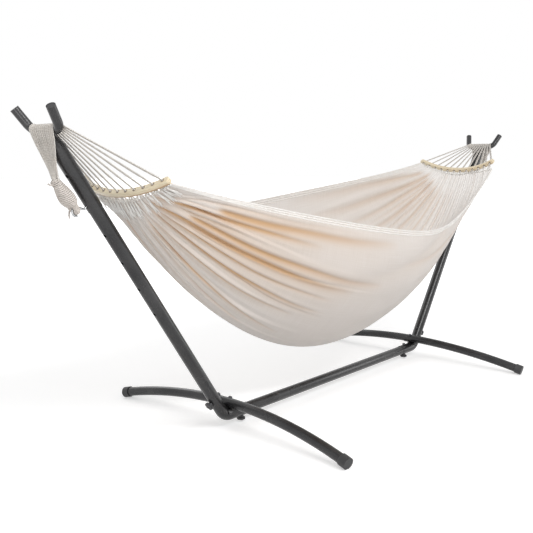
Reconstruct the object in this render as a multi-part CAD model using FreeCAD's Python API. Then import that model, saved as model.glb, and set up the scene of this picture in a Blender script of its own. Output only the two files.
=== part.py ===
import FreeCAD, Part
import math
import os

from FreeCAD import Vector

os.makedirs("parts", exist_ok=True)

# Hammock on a steel stand. Millimetres, +Z up, +X along the hammock, origin on the floor under the centre.

# ---- stand: overall sizes ----
CORNER_X = 726.0          # half the distance between the two elbow corners
BASE_HEIGHT = 47.0        # base tube axis above the floor
ARM_ANGLE = 55.5          # rise of the arms above the floor, degrees
ARM_LENGTH = 1300.0       # elbow corner to fork saddle, along the arm axis
FOOT_SPAN = 1190.0        # between the middles of one foot's two cap faces

# ---- stand: tubes ----
TUBE_WALL = 1.4
BASE_R = 22.2             # base tube
LOWER_R = BASE_R + TUBE_WALL + 0.2     # lower arm slides over the base tube
UPPER_R = LOWER_R + TUBE_WALL + 0.2    # upper arm slides over the lower arm
FOOT_R = 19.05
FORK_R = 14.3
ELBOW_BEND = 60.0         # bend radius on the tube axis
STUB_LENGTH = 128.0       # elbow corner to the end of the lower arm's level stub
SLEEVE_START = ARM_LENGTH - 290.0     # lower edge of the upper arm, along the arm from the corner
SLEEVE_OVERLAP = 150.0
SLIDE_GAP = 0.2

# ---- stand: top of the upper arm and its fork ----
NECK_R = 16.0
NECK_LENGTH = 30.0
NECK_COPE = 8.6           # neck ends this far below the saddle's axis
CONE_LENGTH = 30.0
SADDLE_HALF = 73.6        # saddle centre to each horn bend, across
HORN_RISE = 77.6          # horn length along the arm direction
HORN_SPREAD = 22.7
FORK_BEND = 34.0
PLUG_LENGTH = 8.0
PLUG_INSET = 1.0
PLUG_GAP = 0.1

# ---- stand: hook holes ----
HOLE_R = 6.0
HOLE_COUNT = 6
HOLE_PITCH = 116.5
HOLE_TOP = ARM_LENGTH - 149.0         # highest hole, along the arm from the corner
HOOK_HOLE = 1             # index of the hole in use, counted from the top

# ---- feet ----
CAP_GAP = 0.25
CAP_WALL = 3.2
CAP_R = FOOT_R + CAP_GAP + CAP_WALL
CAP_DEPTH = 32.0
CAP_FLOOR = 3.5
CAP_FLAT = 1.5            # depth of the flat worn on the floor side of each cap
ARCH_ROUNDS = 20          # times the arch is refitted to the height of its caps

# ---- foot bracket, bolts and knobs ----
BRACKET_T = 3.0
BRACKET_REACH = 115.0     # leg length from the elbow corner
BRACKET_WRAP = 75.0       # half angle of the shell round the tube, degrees
COLLAR_HALF = 32.0        # half length of the collar under the foot tube
BOLT_R = 4.0
BOLT_GAP = 0.4
SEAT_GAP = 0.1            # between the bracket and the tubes it seats on
BOLT_PLACE = 95.0         # knob bolt from the elbow corner
HEAD_R = BOLT_R + 3.0
HEAD_H = 4.5
HEAD_ROUND = 2.7
WASHER_R = BOLT_R + 5.0
WASHER_T = 2.0
KNOB_R = 17.0
KNOB_H = 9.0
KNOB_HUB_R = BOLT_R + 5.5
KNOB_HUB_H = 4.0
KNOB_LOBES = 6
KNOB_SCALLOP_R = 5.0
KNOB_SCALLOP_OUT = 2.25   # scallop centres beyond the knob's rim
KNOB_ROUND = 1.5
KNOB_SINK = 1.0           # end of the bolt below the knob's outer face
KNOB_GAP = 0.2
INSERT_R = BOLT_R + 2.0
INSERT_H = 12.0

# ---- hook and end rope ----
WIRE_R = 4.0
HOOK_ARM_R = 14.5         # curl through the arm, on the wire axis
HOOK_ROPE_R = 13.5        # curl round the rope
HOOK_SHANK = 20.0
HOOK_CURL_OUT = 3.0       # centre of the arm curl beyond the arm's wall
HOOK_DROP = 0.5           # wire below the middle of its hole
HOOK_TIP_TURN = -190.0    # angles round each curl, degrees from the way out of the arm
HOOK_SHANK_TURN = -40.0
HOOK_END_TURN = -70.0
LOOP_ROPE_R = 9.0
LOOP_HALF = 14.0          # half distance between the two legs of the loop
KNOT_R = 19.0
KNOT_PLACE = ARM_LENGTH - 143.0       # knot along the arm from the corner
KNOT_OUT = 65.0           # knot out from the arm axis
TAIL_R = 3.5
KNOT_TAIL = (26.0, 14.0)  # end of the knot's tail from the knot: outward, up the arm
LOW_TAIL = (22.0, -20.0)  # end of the loop's tail from the loop's low end
BAND_T = 6.0
BAND_HALF = 46.0
BAND_END = 4.0            # band ends this far past the fork tube, towards the bar
FAN_SINK = 9.5            # gathered band ends this far inside the knot
FAN_END_HALF_T = 8.5
FAN_END_HALF = 11.4
SOFT_GAP = 0.3
CORD_KNEE = 8.0           # last level run of a cord into the cloth's edge

# ---- spreader bars and cords ----
BAR_HALF = 232.0
BAR_WIDE = 24.0
BAR_THICK = 20.0
BAR_RISE = 58.0           # rise of the bent bar at BAR_CHORD from its middle
BAR_CHORD = 218.0
BAR_ROUND = 5.0
CORD_COUNT = 12
CORD_PITCH = 38.0         # along the bar
CORD_R = 3.0
CORD_BEND = 6.0
CORD_MOUTH = 1.0          # cord bends this far outside the bar's faces
CORD_HOLE_R = CORD_R + 0.8
CORD_EDGE_SHARE = 0.98    # outermost cords meet the cloth this close to its hems
CORD_FAN_PITCH = 7.6      # at the saddle

# Each end: how far the bar's middle hangs inward of the saddle, and below it.
BAR_HANG = {"left": (246.3, 193.4), "right": (282.3, 135.4)}

# ---- cloth ----
CLOTH_T = 5.0
CLOTH_REACH = 0.94        # cloth ends, as a share of the way from the centre to the bars
HALF_AT_BAR = 218.0
HALF_AT_MIDDLE = 368.0
WIDTH_FULLNESS = 3.2
HEM_LIFT = 46.0           # hems above the bar's middle
HEM_FULLNESS = 0.9
FRONT_SAG = 257.0
BACK_SAG = 142.0
SAG_SKEW = 0.65
BELLY_HEIGHT = 214.0      # lowest part of the cloth above the floor
BELLY_FULLNESS = 0.9
SIDE_CURVE = 1.05
SIDE_BULGE = 0.41
KEEL_ROUND = 0.35
SECTIONS = 22
SECTION_POINTS = 22

NEAR = 0.01               # edges this close to a plane lie on it


# ---------------------------------------------------------------- places on the right-hand side

RISE = math.radians(ARM_ANGLE)
CORNER = Vector(CORNER_X, 0, BASE_HEIGHT)
ALONG = Vector(math.cos(RISE), 0, math.sin(RISE))
OUT = Vector(math.sin(RISE), 0, -math.cos(RISE))
ACROSS = Vector(0, 1, 0)
SADDLE = CORNER + ALONG * ARM_LENGTH
BAR_PLACES = {side: (SADDLE.x - inward, SADDLE.z - down) for side, (inward, down) in BAR_HANG.items()}


def arm_point(along, out=0.0):
    """Point on the arm's middle plane, measured from the elbow corner."""
    return CORNER + ALONG * along + OUT * out


def mirrored(shape):
    return shape.mirror(Vector(0, 0, 0), Vector(1, 0, 0))


def on_side(shape, side):
    return shape if side == "right" else mirrored(shape)


def save(shape, node):
    shape.exportStep("parts/" + node + ".step")


def group(shapes):
    return Part.makeCompound(shapes)


def rod(start, end, radius):
    return Part.makeCylinder(radius, (end - start).Length, start, end - start)


def hollow_rod(start, end, radius, wall):
    return rod(start, end, radius).cut(rod(start, end, radius - wall))


def bent_path(points, bend):
    """Wire through the points with every corner rounded."""
    edges = []
    last = points[0]
    for before, corner, after in zip(points, points[1:], points[2:]):
        back = (before - corner).normalize()
        ahead = (after - corner).normalize()
        half = back.getAngle(ahead) / 2
        reach = bend / math.tan(half)
        middle = corner + (back + ahead).normalize() * (bend / math.sin(half) - bend)
        start = corner + back * reach
        end = corner + ahead * reach
        edges.append(Part.makeLine(last, start))
        edges.append(Part.Arc(start, middle, end).toShape())
        last = end
    edges.append(Part.makeLine(last, points[-1]))
    return Part.Wire(edges)


def sweep_round(path, start, direction, radius):
    profile = Part.Face(Part.Wire([Part.makeCircle(radius, start, direction)]))
    return path.makePipe(profile)


def bent_rod(points, bend, radius):
    return sweep_round(bent_path(points, bend), points[0], points[1] - points[0], radius)


# ---------------------------------------------------------------- stand

def hole_places():
    return [HOLE_TOP - HOLE_PITCH * i for i in range(HOLE_COUNT)]


def hook_holes():
    """Drills for the hook holes, right through the arm."""
    reach = 2 * UPPER_R
    return [rod(arm_point(t, -reach), arm_point(t, reach), HOLE_R) for t in hole_places()]


def bolt_drills():
    """Drills for the two knob bolts and the foot bolt of one side."""
    radius = BOLT_R + BOLT_GAP
    reach = 2 * UPPER_R
    base = CORNER - Vector(BOLT_PLACE, 0, 0)
    up = Vector(0, 0, reach)
    arm = rod(arm_point(BOLT_PLACE, -reach), arm_point(BOLT_PLACE, reach), radius)
    level = rod(base - up, base + up, radius)
    return [arm, level]


HALF_BEND = RISE / 2
INWARD = Vector(-math.sin(HALF_BEND), 0, math.cos(HALF_BEND))   # from the elbow towards the foot tube
ELBOW_CROWN = CORNER + INWARD * (ELBOW_BEND / math.cos(HALF_BEND) - ELBOW_BEND)
FOOT_MIDDLE = ELBOW_CROWN + INWARD * (LOWER_R + BRACKET_T + FOOT_R)


def elbow_rod(reach_level, reach_arm, radius):
    points = [CORNER - Vector(reach_level, 0, 0), CORNER, arm_point(reach_arm)]
    return bent_rod(points, ELBOW_BEND, radius)


def base_tube():
    bend_start = ELBOW_BEND * math.tan(HALF_BEND) + SLIDE_GAP
    end = CORNER - Vector(bend_start, 0, 0)
    start = Vector(-end.x, end.y, end.z)
    tube = hollow_rod(start, end, BASE_R, TUBE_WALL)
    level = bolt_drills()[1]
    return tube.cut([level, mirrored(level)])


def insert_drill():
    return rod(ELBOW_CROWN, ELBOW_CROWN + INWARD * (2 * LOWER_R), INSERT_R + SLIDE_GAP)


def lower_arm():
    top = SLEEVE_START + SLEEVE_OVERLAP
    tube = elbow_rod(STUB_LENGTH, top, LOWER_R).cut(elbow_rod(STUB_LENGTH, top, LOWER_R - TUBE_WALL))
    return tube.cut(bolt_drills() + hook_holes() + [insert_drill()])


def upper_arm():
    """Straight sleeve swaged to a neck, coped to the fork's saddle."""
    cone_start = arm_point(ARM_LENGTH - NECK_LENGTH - CONE_LENGTH)
    cone_end = arm_point(ARM_LENGTH - NECK_LENGTH)
    neck_end = arm_point(ARM_LENGTH - NECK_COPE)
    outer = rod(arm_point(SLEEVE_START), cone_start, UPPER_R)
    outer = outer.fuse([Part.makeCone(UPPER_R, NECK_R, CONE_LENGTH, cone_start, ALONG),
                        rod(cone_end, neck_end, NECK_R)])
    inner = rod(arm_point(SLEEVE_START), cone_start, UPPER_R - TUBE_WALL)
    cone = Part.makeCone(UPPER_R - TUBE_WALL, NECK_R - TUBE_WALL, CONE_LENGTH, cone_start, ALONG)
    inner = inner.fuse([cone, rod(cone_end, SADDLE, NECK_R - TUBE_WALL)])
    saddle = rod(SADDLE - ACROSS * SADDLE_HALF, SADDLE + ACROSS * SADDLE_HALF, FORK_R)
    return outer.cut(inner).cut([saddle] + hook_holes())


def fork_points():
    bend = SADDLE + ACROSS * SADDLE_HALF
    tip = bend + ALONG * HORN_RISE + ACROSS * HORN_SPREAD
    across = [tip, bend]
    return across + [Vector(p.x, -p.y, p.z) for p in reversed(across)]


def fork():
    points = fork_points()
    return bent_rod(points, FORK_BEND, FORK_R).cut(bent_rod(points, FORK_BEND, FORK_R - TUBE_WALL))


def horn_plugs():
    points = fork_points()
    plugs = []
    for tip, bend in ((points[0], points[1]), (points[3], points[2])):
        inward = (bend - tip).normalize()
        start = tip + inward * PLUG_INSET
        plugs.append(rod(start, start + inward * PLUG_LENGTH, FORK_R - TUBE_WALL - PLUG_GAP))
    return plugs


def foot_end():
    """Cap face centre and outward axis of the arched foot, whose plane leans with the elbow's bisector."""
    fall = FOOT_MIDDLE.z - CAP_R
    end_y = FOOT_SPAN / 2
    for _ in range(ARCH_ROUNDS):
        drop = fall / math.cos(HALF_BEND)
        radius = (end_y ** 2 + drop ** 2) / (2 * drop)
        turn = math.asin(end_y / radius)
        steep = math.sin(turn) * math.cos(HALF_BEND)
        fall = FOOT_MIDDLE.z - (CAP_R * math.sqrt(1 - steep ** 2) - CAP_FLAT)
    end = FOOT_MIDDLE + ACROSS * end_y - INWARD * drop
    return end, ACROSS * math.cos(turn) - INWARD * math.sin(turn)


def foot_tips():
    """Cap face centre and outward axis at both ends of the foot."""
    end, axis = foot_end()
    return [(Vector(end.x, sign * end.y, end.z), Vector(axis.x, sign * axis.y, axis.z)) for sign in (1, -1)]


def foot_rod(radius):
    """Round bar along the whole arch of the foot."""
    (end, _), (start, axis) = foot_tips()
    path = Part.Wire([Part.Arc(start, FOOT_MIDDLE, end).toShape()])
    return sweep_round(path, start, axis * -1, radius)


def foot():
    tube = foot_rod(FOOT_R).cut(foot_rod(FOOT_R - TUBE_WALL))
    trim = CAP_FLOOR + CAP_GAP
    for face, axis in foot_tips():
        tube = tube.cut(rod(face - axis * trim, face + axis * CAP_DEPTH, 2 * CAP_R))
    drill = rod(ELBOW_CROWN, FOOT_MIDDLE + INWARD * (2 * FOOT_R), BOLT_R + BOLT_GAP)
    return tube.cut(drill)


def foot_caps():
    bore = foot_rod(FOOT_R + CAP_GAP)
    under_floor = Part.makeBox(2 * CORNER_X, 2 * FOOT_SPAN, CAP_R, Vector(0, -FOOT_SPAN, -CAP_R))
    caps = []
    for face, axis in foot_tips():
        cap = rod(face - axis * CAP_DEPTH, face, CAP_R)
        lid = rod(face - axis * CAP_FLOOR, face, CAP_R)
        caps.append(cap.cut(bore).fuse(lid).removeSplitter().cut(under_floor))
    return caps


def bracket_shell():
    """Part shell that hugs the inner side of the elbow, in three runs."""
    inner = LOWER_R + SEAT_GAP
    shell = elbow_rod(BRACKET_REACH, BRACKET_REACH, LOWER_R + BRACKET_T)
    shell = shell.cut(elbow_rod(BRACKET_REACH, BRACKET_REACH, inner))
    wrap = math.radians(BRACKET_WRAP)
    size = 4 * BRACKET_REACH
    keep = inner * math.cos(wrap)
    level = Part.makeBox(size, size, size, Vector(CORNER_X - size, -size / 2, BASE_HEIGHT + keep))
    turned = Part.makeBox(size, size, size, Vector(0, -size / 2, keep))
    turned.rotate(Vector(0, 0, 0), Vector(0, 1, 0), -ARM_ANGLE)
    turned.translate(CORNER)
    return shell.common(level.common(turned))


def bracket():
    shell = bracket_shell()
    reach = ACROSS * COLLAR_HALF
    collar = rod(FOOT_MIDDLE - reach, FOOT_MIDDLE + reach, FOOT_R + BRACKET_T)
    size = 4 * FOOT_R
    upper = Part.makeBox(size, 4 * COLLAR_HALF, size, Vector(-size / 2, -2 * COLLAR_HALF, 0))
    upper.rotate(Vector(0, 0, 0), Vector(0, 1, 0), -math.degrees(HALF_BEND))
    upper.translate(FOOT_MIDDLE)
    seats = [foot_rod(FOOT_R + SEAT_GAP), elbow_rod(STUB_LENGTH, BRACKET_REACH * 2, LOWER_R + SEAT_GAP)]
    body = collar.cut(upper).fuse(shell).cut(seats)
    drill = rod(ELBOW_CROWN, FOOT_MIDDLE, BOLT_R + BOLT_GAP)
    body = body.cut(bolt_drills() + [drill])
    return max(body.Solids, key=lambda s: s.Volume)


KNOB_SEAT = LOWER_R + WASHER_T + KNOB_GAP     # inner face of a knob's hub from the tube axis


def bolt_axes():
    """Each knob bolt: point on the tube axis and the direction towards its knob."""
    level = CORNER - Vector(BOLT_PLACE, 0, 0)
    return {"arm": (arm_point(BOLT_PLACE), OUT), "base": (level, Vector(0, 0, -1))}


def arc_washer(centre, direction, tube_radius, tube_axis):
    """Washer with a flat outer face and a hollow face that fits the tube."""
    crown = centre + direction * tube_radius
    blank = rod(centre, crown + direction * WASHER_T, WASHER_R)
    seat = rod(centre - tube_axis * BRACKET_REACH, centre + tube_axis * BRACKET_REACH, tube_radius)
    return blank.cut([seat, rod(centre, crown + direction * (2 * WASHER_T), BOLT_R + BOLT_GAP)])


def washers_of(name):
    centre, direction = bolt_axes()[name]
    tube_axis = ALONG if name == "arm" else Vector(1, 0, 0)
    return [arc_washer(centre, direction, LOWER_R, tube_axis),
            arc_washer(centre, direction * -1, LOWER_R + BRACKET_T, tube_axis)]


def domed_head(seat, direction):
    """Low domed bolt head on a flat seat."""
    head = rod(seat, seat + direction * HEAD_H, HEAD_R)
    return head.makeFillet(HEAD_ROUND, [e for e in head.Edges if far_rim(e, seat, direction)])


def far_rim(edge, seat, direction):
    middle = edge.BoundBox.Center
    return edge.Curve.TypeId == "Part::GeomCircle" and (middle - seat).dot(direction) > HEAD_H / 2


def knob_bolt(name):
    centre, direction = bolt_axes()[name]
    seat = centre - direction * (LOWER_R + BRACKET_T + WASHER_T)
    tip = centre + direction * (KNOB_SEAT + KNOB_HUB_H + KNOB_H - KNOB_SINK)
    return rod(seat, tip, BOLT_R).fuse(domed_head(seat, direction * -1)).removeSplitter()


def foot_bolt():
    seat = FOOT_MIDDLE + INWARD * FOOT_R
    washer = arc_washer(FOOT_MIDDLE, INWARD, FOOT_R, ACROSS)
    head_seat = seat + INWARD * WASHER_T
    tip = ELBOW_CROWN + INWARD * (LOWER_R - INSERT_H)
    bolt = rod(tip, head_seat, BOLT_R).fuse(domed_head(head_seat, INWARD)).removeSplitter()
    return bolt, washer


def insert_nut():
    """Threaded insert set in the elbow's wall under the foot tube."""
    top = ELBOW_CROWN + INWARD * (LOWER_R - TUBE_WALL)
    nut = rod(top - INWARD * INSERT_H, top, INSERT_R)
    return nut.cut(rod(top - INWARD * (2 * INSERT_H), top + INWARD * INSERT_H, BOLT_R + BOLT_GAP / 2))


def knob(name):
    centre, direction = bolt_axes()[name]
    hub_start = centre + direction * KNOB_SEAT
    disc_start = hub_start + direction * KNOB_HUB_H
    disc_end = disc_start + direction * KNOB_H
    disc = rod(disc_start, disc_end, KNOB_R)
    scallops = []
    for i in range(KNOB_LOBES):
        turn = FreeCAD.Rotation(direction, 360.0 * i / KNOB_LOBES)
        offset = turn.multVec(ACROSS) * (KNOB_R + KNOB_SCALLOP_OUT)
        scallops.append(rod(disc_start + offset, disc_end + offset, KNOB_SCALLOP_R))
    disc = disc.cut(scallops)
    rims = [e for e in disc.Edges if abs((e.BoundBox.Center - disc_end).dot(direction)) < NEAR]
    disc = disc.makeFillet(KNOB_ROUND, rims)
    bore = rod(centre, disc_end, BOLT_R + BOLT_GAP / 2)
    return disc.fuse(rod(hub_start, disc_start, KNOB_HUB_R)).removeSplitter().cut(bore)


# ---------------------------------------------------------------- hook and end rope

def hook_frame():
    """Hook curl centres and corner angles, out of and along the arm from the hole in use."""
    hole = HOLE_TOP - HOLE_PITCH * HOOK_HOLE
    arm_curl = (UPPER_R + HOOK_CURL_OUT, hole + HOOK_ARM_R - HOOK_DROP)
    leave = math.radians(HOOK_SHANK_TURN)
    heading = (math.sin(-leave), math.cos(leave))
    exit_point = (arm_curl[0] + HOOK_ARM_R * math.cos(leave), arm_curl[1] + HOOK_ARM_R * math.sin(leave))
    meet = (exit_point[0] + heading[0] * HOOK_SHANK, exit_point[1] + heading[1] * HOOK_SHANK)
    rope_curl = (meet[0] + heading[1] * HOOK_ROPE_R, meet[1] - heading[0] * HOOK_ROPE_R)
    return arm_curl, leave, exit_point, meet, rope_curl


def polar(centre, radius, angle):
    return arm_point(centre[1] + radius * math.sin(angle), centre[0] + radius * math.cos(angle))


def s_hook():
    arm_curl, leave, exit_point, meet, rope_curl = hook_frame()
    tip = math.radians(HOOK_TIP_TURN)
    first = Part.Arc(polar(arm_curl, HOOK_ARM_R, tip), polar(arm_curl, HOOK_ARM_R, (tip + leave) / 2),
                     polar(arm_curl, HOOK_ARM_R, leave)).toShape()
    shank = Part.makeLine(arm_point(exit_point[1], exit_point[0]), arm_point(meet[1], meet[0]))
    start = leave + math.pi
    end = math.radians(HOOK_END_TURN)
    second = Part.Arc(polar(rope_curl, HOOK_ROPE_R, start), polar(rope_curl, HOOK_ROPE_R, (start + end) / 2),
                      polar(rope_curl, HOOK_ROPE_R, end)).toShape()
    path = Part.Wire([first, shank, second])
    heading = OUT * -math.sin(tip) + ALONG * math.cos(tip)
    return sweep_round(path, polar(arm_curl, HOOK_ARM_R, tip), heading, WIRE_R)


def loop_ends():
    """Rope centre inside the hook's curl, and the knot's centre."""
    rope_curl = hook_frame()[4]
    return arm_point(rope_curl[1], rope_curl[0]), arm_point(KNOT_PLACE, KNOT_OUT)


def end_loop():
    """Whipped loop, knot and short rope tails."""
    bight, knot = loop_ends()
    axis = (knot - bight).normalize()
    low = bight + axis * LOOP_HALF
    side = ACROSS * LOOP_HALF
    path = Part.Wire([
        Part.makeLine(knot - side, low - side),
        Part.Arc(low - side, bight, low + side).toShape(),
        Part.makeLine(low + side, knot + side),
        Part.Arc(knot + side, knot + axis * LOOP_HALF, knot - side).toShape()])
    loop = sweep_round(path, knot - side, axis * -1, LOOP_ROPE_R)
    tails = [rod(start, start + OUT * outward + ALONG * along, TAIL_R)
             for start, (outward, along) in ((knot, KNOT_TAIL), (low + side, LOW_TAIL))]
    return loop.fuse([Part.makeSphere(KNOT_R, knot)] + tails)


def cord_slope(side):
    """Angle of the cords below level between saddle and bar."""
    x, z = BAR_PLACES[side]
    return math.atan2(SADDLE.z - z, SADDLE.x - x)


def band_end_x():
    """Upright plane where the fixed band ends and the swinging cords begin."""
    return SADDLE.x - FORK_R - BAND_END


def beyond(x, sign):
    """Large block on the side of an upright plane that sign points to."""
    size = 2 * ARM_LENGTH
    return Part.makeBox(size, size, size, Vector(x if sign > 0 else x - size, -size / 2, -size / 2))


def band(side):
    """Flat band of cords over the saddle, gathered to the knot outside."""
    slope = cord_slope(side)
    bore = FORK_R + SOFT_GAP
    middle = bore + BAND_T / 2
    knot = loop_ends()[1]
    reach = knot - SADDLE
    outer_turn = math.atan2(reach.z, reach.x) + math.acos(middle / reach.Length)
    inner_turn = math.pi / 2 + slope
    wrap = math.degrees(inner_turn - outer_turn)
    corner = SADDLE + Vector(bore, 0, 0) - ACROSS * BAND_HALF
    sheet = Part.makePolygon([corner, corner + Vector(BAND_T, 0, 0),
                              corner + Vector(BAND_T, 0, 0) + ACROSS * (2 * BAND_HALF),
                              corner + ACROSS * (2 * BAND_HALF), corner])
    turned = Part.Face(sheet)
    turned.rotate(SADDLE, ACROSS, -math.degrees(inner_turn))
    wrapped = turned.revolve(SADDLE, ACROSS, wrap)

    inner_along = Vector(-math.cos(slope), 0, -math.sin(slope))
    tab = turned.extrude(inner_along * (2 * FORK_R)).cut(beyond(band_end_x(), -1))

    outer_normal = Vector(math.cos(outer_turn), 0, math.sin(outer_turn))
    start = SADDLE + outer_normal * middle
    wide = section_wire(start, outer_normal * (BAND_T / 2), ACROSS * BAND_HALF)
    away = (knot - start).normalize()
    finish = knot - away * FAN_SINK
    narrow = section_wire(finish, outer_normal * FAN_END_HALF_T, ACROSS * FAN_END_HALF)
    fan = Part.makeLoft([wide, narrow], True, True)
    body = wrapped.fuse([tab, fan]).cut(Part.makeSphere(KNOT_R + SOFT_GAP, knot))
    return body.cut(end_loop())


def section_wire(centre, half_a, half_b):
    corners = [centre + half_a + half_b, centre + half_a - half_b,
               centre - half_a - half_b, centre - half_a + half_b]
    return Part.makePolygon(corners + corners[:1])


# ---------------------------------------------------------------- hammock

def bar_frame(side):
    """Middle of the bar, cord direction through it, and the direction its ends rise."""
    x, z = BAR_PLACES[side]
    slope = cord_slope(side)
    middle = Vector(x, 0, z)
    through = Vector(-math.cos(slope), 0, -math.sin(slope))
    rise = Vector(-math.sin(slope), 0, math.cos(slope))
    return middle, through, rise


BAR_ARC_R = (BAR_CHORD ** 2 + BAR_RISE ** 2) / (2 * BAR_RISE)


def bar_point(side, length, radial=0.0, depth=0.0):
    """Point by length along the bent bar from its middle, offset in its plane and through it."""
    middle, through, rise = bar_frame(side)
    centre = middle + rise * BAR_ARC_R
    turn = length / BAR_ARC_R
    radius = BAR_ARC_R + radial
    return centre + ACROSS * (radius * math.sin(turn)) - rise * (radius * math.cos(turn)) + through * depth


def spreader_bar(side):
    half = BAR_WIDE / 2
    straight = BAR_HALF - half
    middle, through, _ = bar_frame(side)

    def rim(length, radial):
        return bar_point(side, length, radial, -BAR_THICK / 2)

    outline = Part.Wire([
        Part.Arc(rim(-straight, half), rim(0, half), rim(straight, half)).toShape(),
        Part.Arc(rim(straight, half), rim(straight + half, 0), rim(straight, -half)).toShape(),
        Part.Arc(rim(straight, -half), rim(0, -half), rim(-straight, -half)).toShape(),
        Part.Arc(rim(-straight, -half), rim(-straight - half, 0), rim(-straight, half)).toShape()])
    bar = Part.Face(outline).extrude(through * BAR_THICK)
    face_rims = [e for e in bar.Edges
                 if abs(abs((e.BoundBox.Center - middle).dot(through)) - BAR_THICK / 2) < NEAR]
    bar = bar.makeFillet(BAR_ROUND, face_rims)
    drills = [rod(bar_point(side, s, 0, -BAR_THICK), bar_point(side, s, 0, BAR_THICK), CORD_HOLE_R)
              for s in cord_places(CORD_PITCH)]
    return bar.cut(drills)


def cord_places(pitch):
    return [(i - (CORD_COUNT - 1) / 2) * pitch for i in range(CORD_COUNT)]


def cloth_point(u, v):
    """Cloth surface: u from the left bar to the right bar, v from the front hem to the back hem."""
    left_x, left_z = BAR_PLACES["left"]
    right_x, right_z = BAR_PLACES["right"]
    full = 1 - u * u
    x = (right_x - left_x) / 2 + (right_x + left_x) / 2 * u
    middle_line = (left_z + right_z) / 2
    line = middle_line + (right_z - left_z) / 2 * u
    half = HALF_AT_BAR + (HALF_AT_MIDDLE - HALF_AT_BAR) * full ** WIDTH_FULLNESS
    sag = FRONT_SAG * math.exp(SAG_SKEW * u) if v < 0 else BACK_SAG * math.exp(-SAG_SKEW * u)
    hem = line + HEM_LIFT - sag * full ** HEM_FULLNESS
    belly = line - (middle_line - BELLY_HEIGHT) * full ** BELLY_FULLNESS
    share = abs(v)
    y = math.copysign(half * share * (1 + SIDE_BULGE * full * math.sin(math.pi * share)), v)
    return Vector(x, y, belly + (hem - belly) * side_climb(share))


def side_climb(share):
    """Height up the cloth's side from 0 at the keel to 1 at the hem, rounded at the keel."""
    lowest = KEEL_ROUND ** SIDE_CURVE
    highest = math.hypot(1, KEEL_ROUND) ** SIDE_CURVE
    return (math.hypot(share, KEEL_ROUND) ** SIDE_CURVE - lowest) / (highest - lowest)


def cloth_section(u):
    """Closed outline of the cloth's cross-section in one upright plane."""
    steps = [2.0 * i / SECTION_POINTS - 1 for i in range(SECTION_POINTS + 1)]
    inner = [cloth_point(u, v) for v in steps]
    outer = []
    for i, point in enumerate(inner):
        before = inner[max(i - 1, 0)]
        after = inner[min(i + 1, SECTION_POINTS)]
        run = (after - before).normalize()
        outer.append(point + Vector(0, run.z, -run.y) * CLOTH_T)
    return Part.makePolygon(inner + outer[::-1] + inner[:1])


def cloth():
    """Slices between neighbouring sections, joined along the hammock."""
    spread = [math.sin(math.pi / 2 * (2.0 * i / SECTIONS - 1)) for i in range(SECTIONS + 1)]
    wires = [cloth_section(CLOTH_REACH * s) for s in spread]
    return Part.makeLoft(wires, True, True)


def clew_cords(side):
    """Cords of one end, each from the saddle, through its hole in the bar, to the cloth."""
    rise = bar_frame(side)[2]
    start = SADDLE + rise * (FORK_R + SOFT_GAP + BAND_T / 2)
    mouth = BAR_THICK / 2 + CORD_MOUTH
    reach = CLOTH_REACH if side == "right" else -CLOTH_REACH
    fixed_side = beyond(band_end_x() - SOFT_GAP, 1)
    places = cord_places(CORD_PITCH)
    cords = []
    for place, fan in zip(places, cord_places(CORD_FAN_PITCH)):
        edge = cloth_point(reach, place / places[-1] * CORD_EDGE_SHARE)
        edge = Vector(abs(edge.x), edge.y, edge.z)
        knee = edge + Vector(CORD_KNEE, 0, 0)
        stop = edge + Vector(SOFT_GAP, 0, 0)
        above = bar_point(side, place, 0, -mouth)
        below = bar_point(side, place, 0, mouth)
        cord = bent_rod([start + ACROSS * fan, above, below, knee, stop], CORD_BEND, CORD_R)
        cords.append(cord.cut(fixed_side))
    return cords


# ---------------------------------------------------------------- build

save(base_tube(), "base_tube")
save(cloth(), "hammock_cloth")

BUILDERS = {
    "lower_arm": lower_arm, "upper_arm": upper_arm, "fork": fork, "foot": foot,
    "foot_bracket": bracket, "s_hook": s_hook, "end_loop": end_loop,
}
for part_name, build in BUILDERS.items():
    made = build()
    for part_side in ("left", "right"):
        save(on_side(made, part_side), part_name + "_" + part_side)

for knob_name in ("arm", "base"):
    made = knob(knob_name)
    for part_side in ("left", "right"):
        save(on_side(made, part_side), "knob_" + knob_name + "_" + part_side)

for part_side in ("left", "right"):
    save(on_side(band(part_side), part_side), "end_band_" + part_side)
    save(on_side(spreader_bar(part_side), part_side), "spreader_bar_" + part_side)
    save(on_side(group(clew_cords(part_side)), part_side), "clew_cords_" + part_side)
    save(on_side(group(foot_caps()), part_side), "foot_caps_" + part_side)

FOOT_BOLT, FOOT_WASHER = foot_bolt()
GROUPS = {
    "horn_plugs": horn_plugs(),
    "knob_bolts": [knob_bolt("arm"), knob_bolt("base")],
    "foot_bolts": [FOOT_BOLT],
    "arc_washers": washers_of("arm") + washers_of("base") + [FOOT_WASHER],
    "insert_nuts": [insert_nut()],
}
for part_name, solids in GROUPS.items():
    save(group(solids + [mirrored(s) for s in solids]), part_name)
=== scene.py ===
import math
import random

import bmesh
import bpy
import numpy as np
from bpy.props import FloatProperty, FloatVectorProperty, IntProperty, PointerProperty
from mathutils import Matrix, Quaternion, Vector


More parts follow.
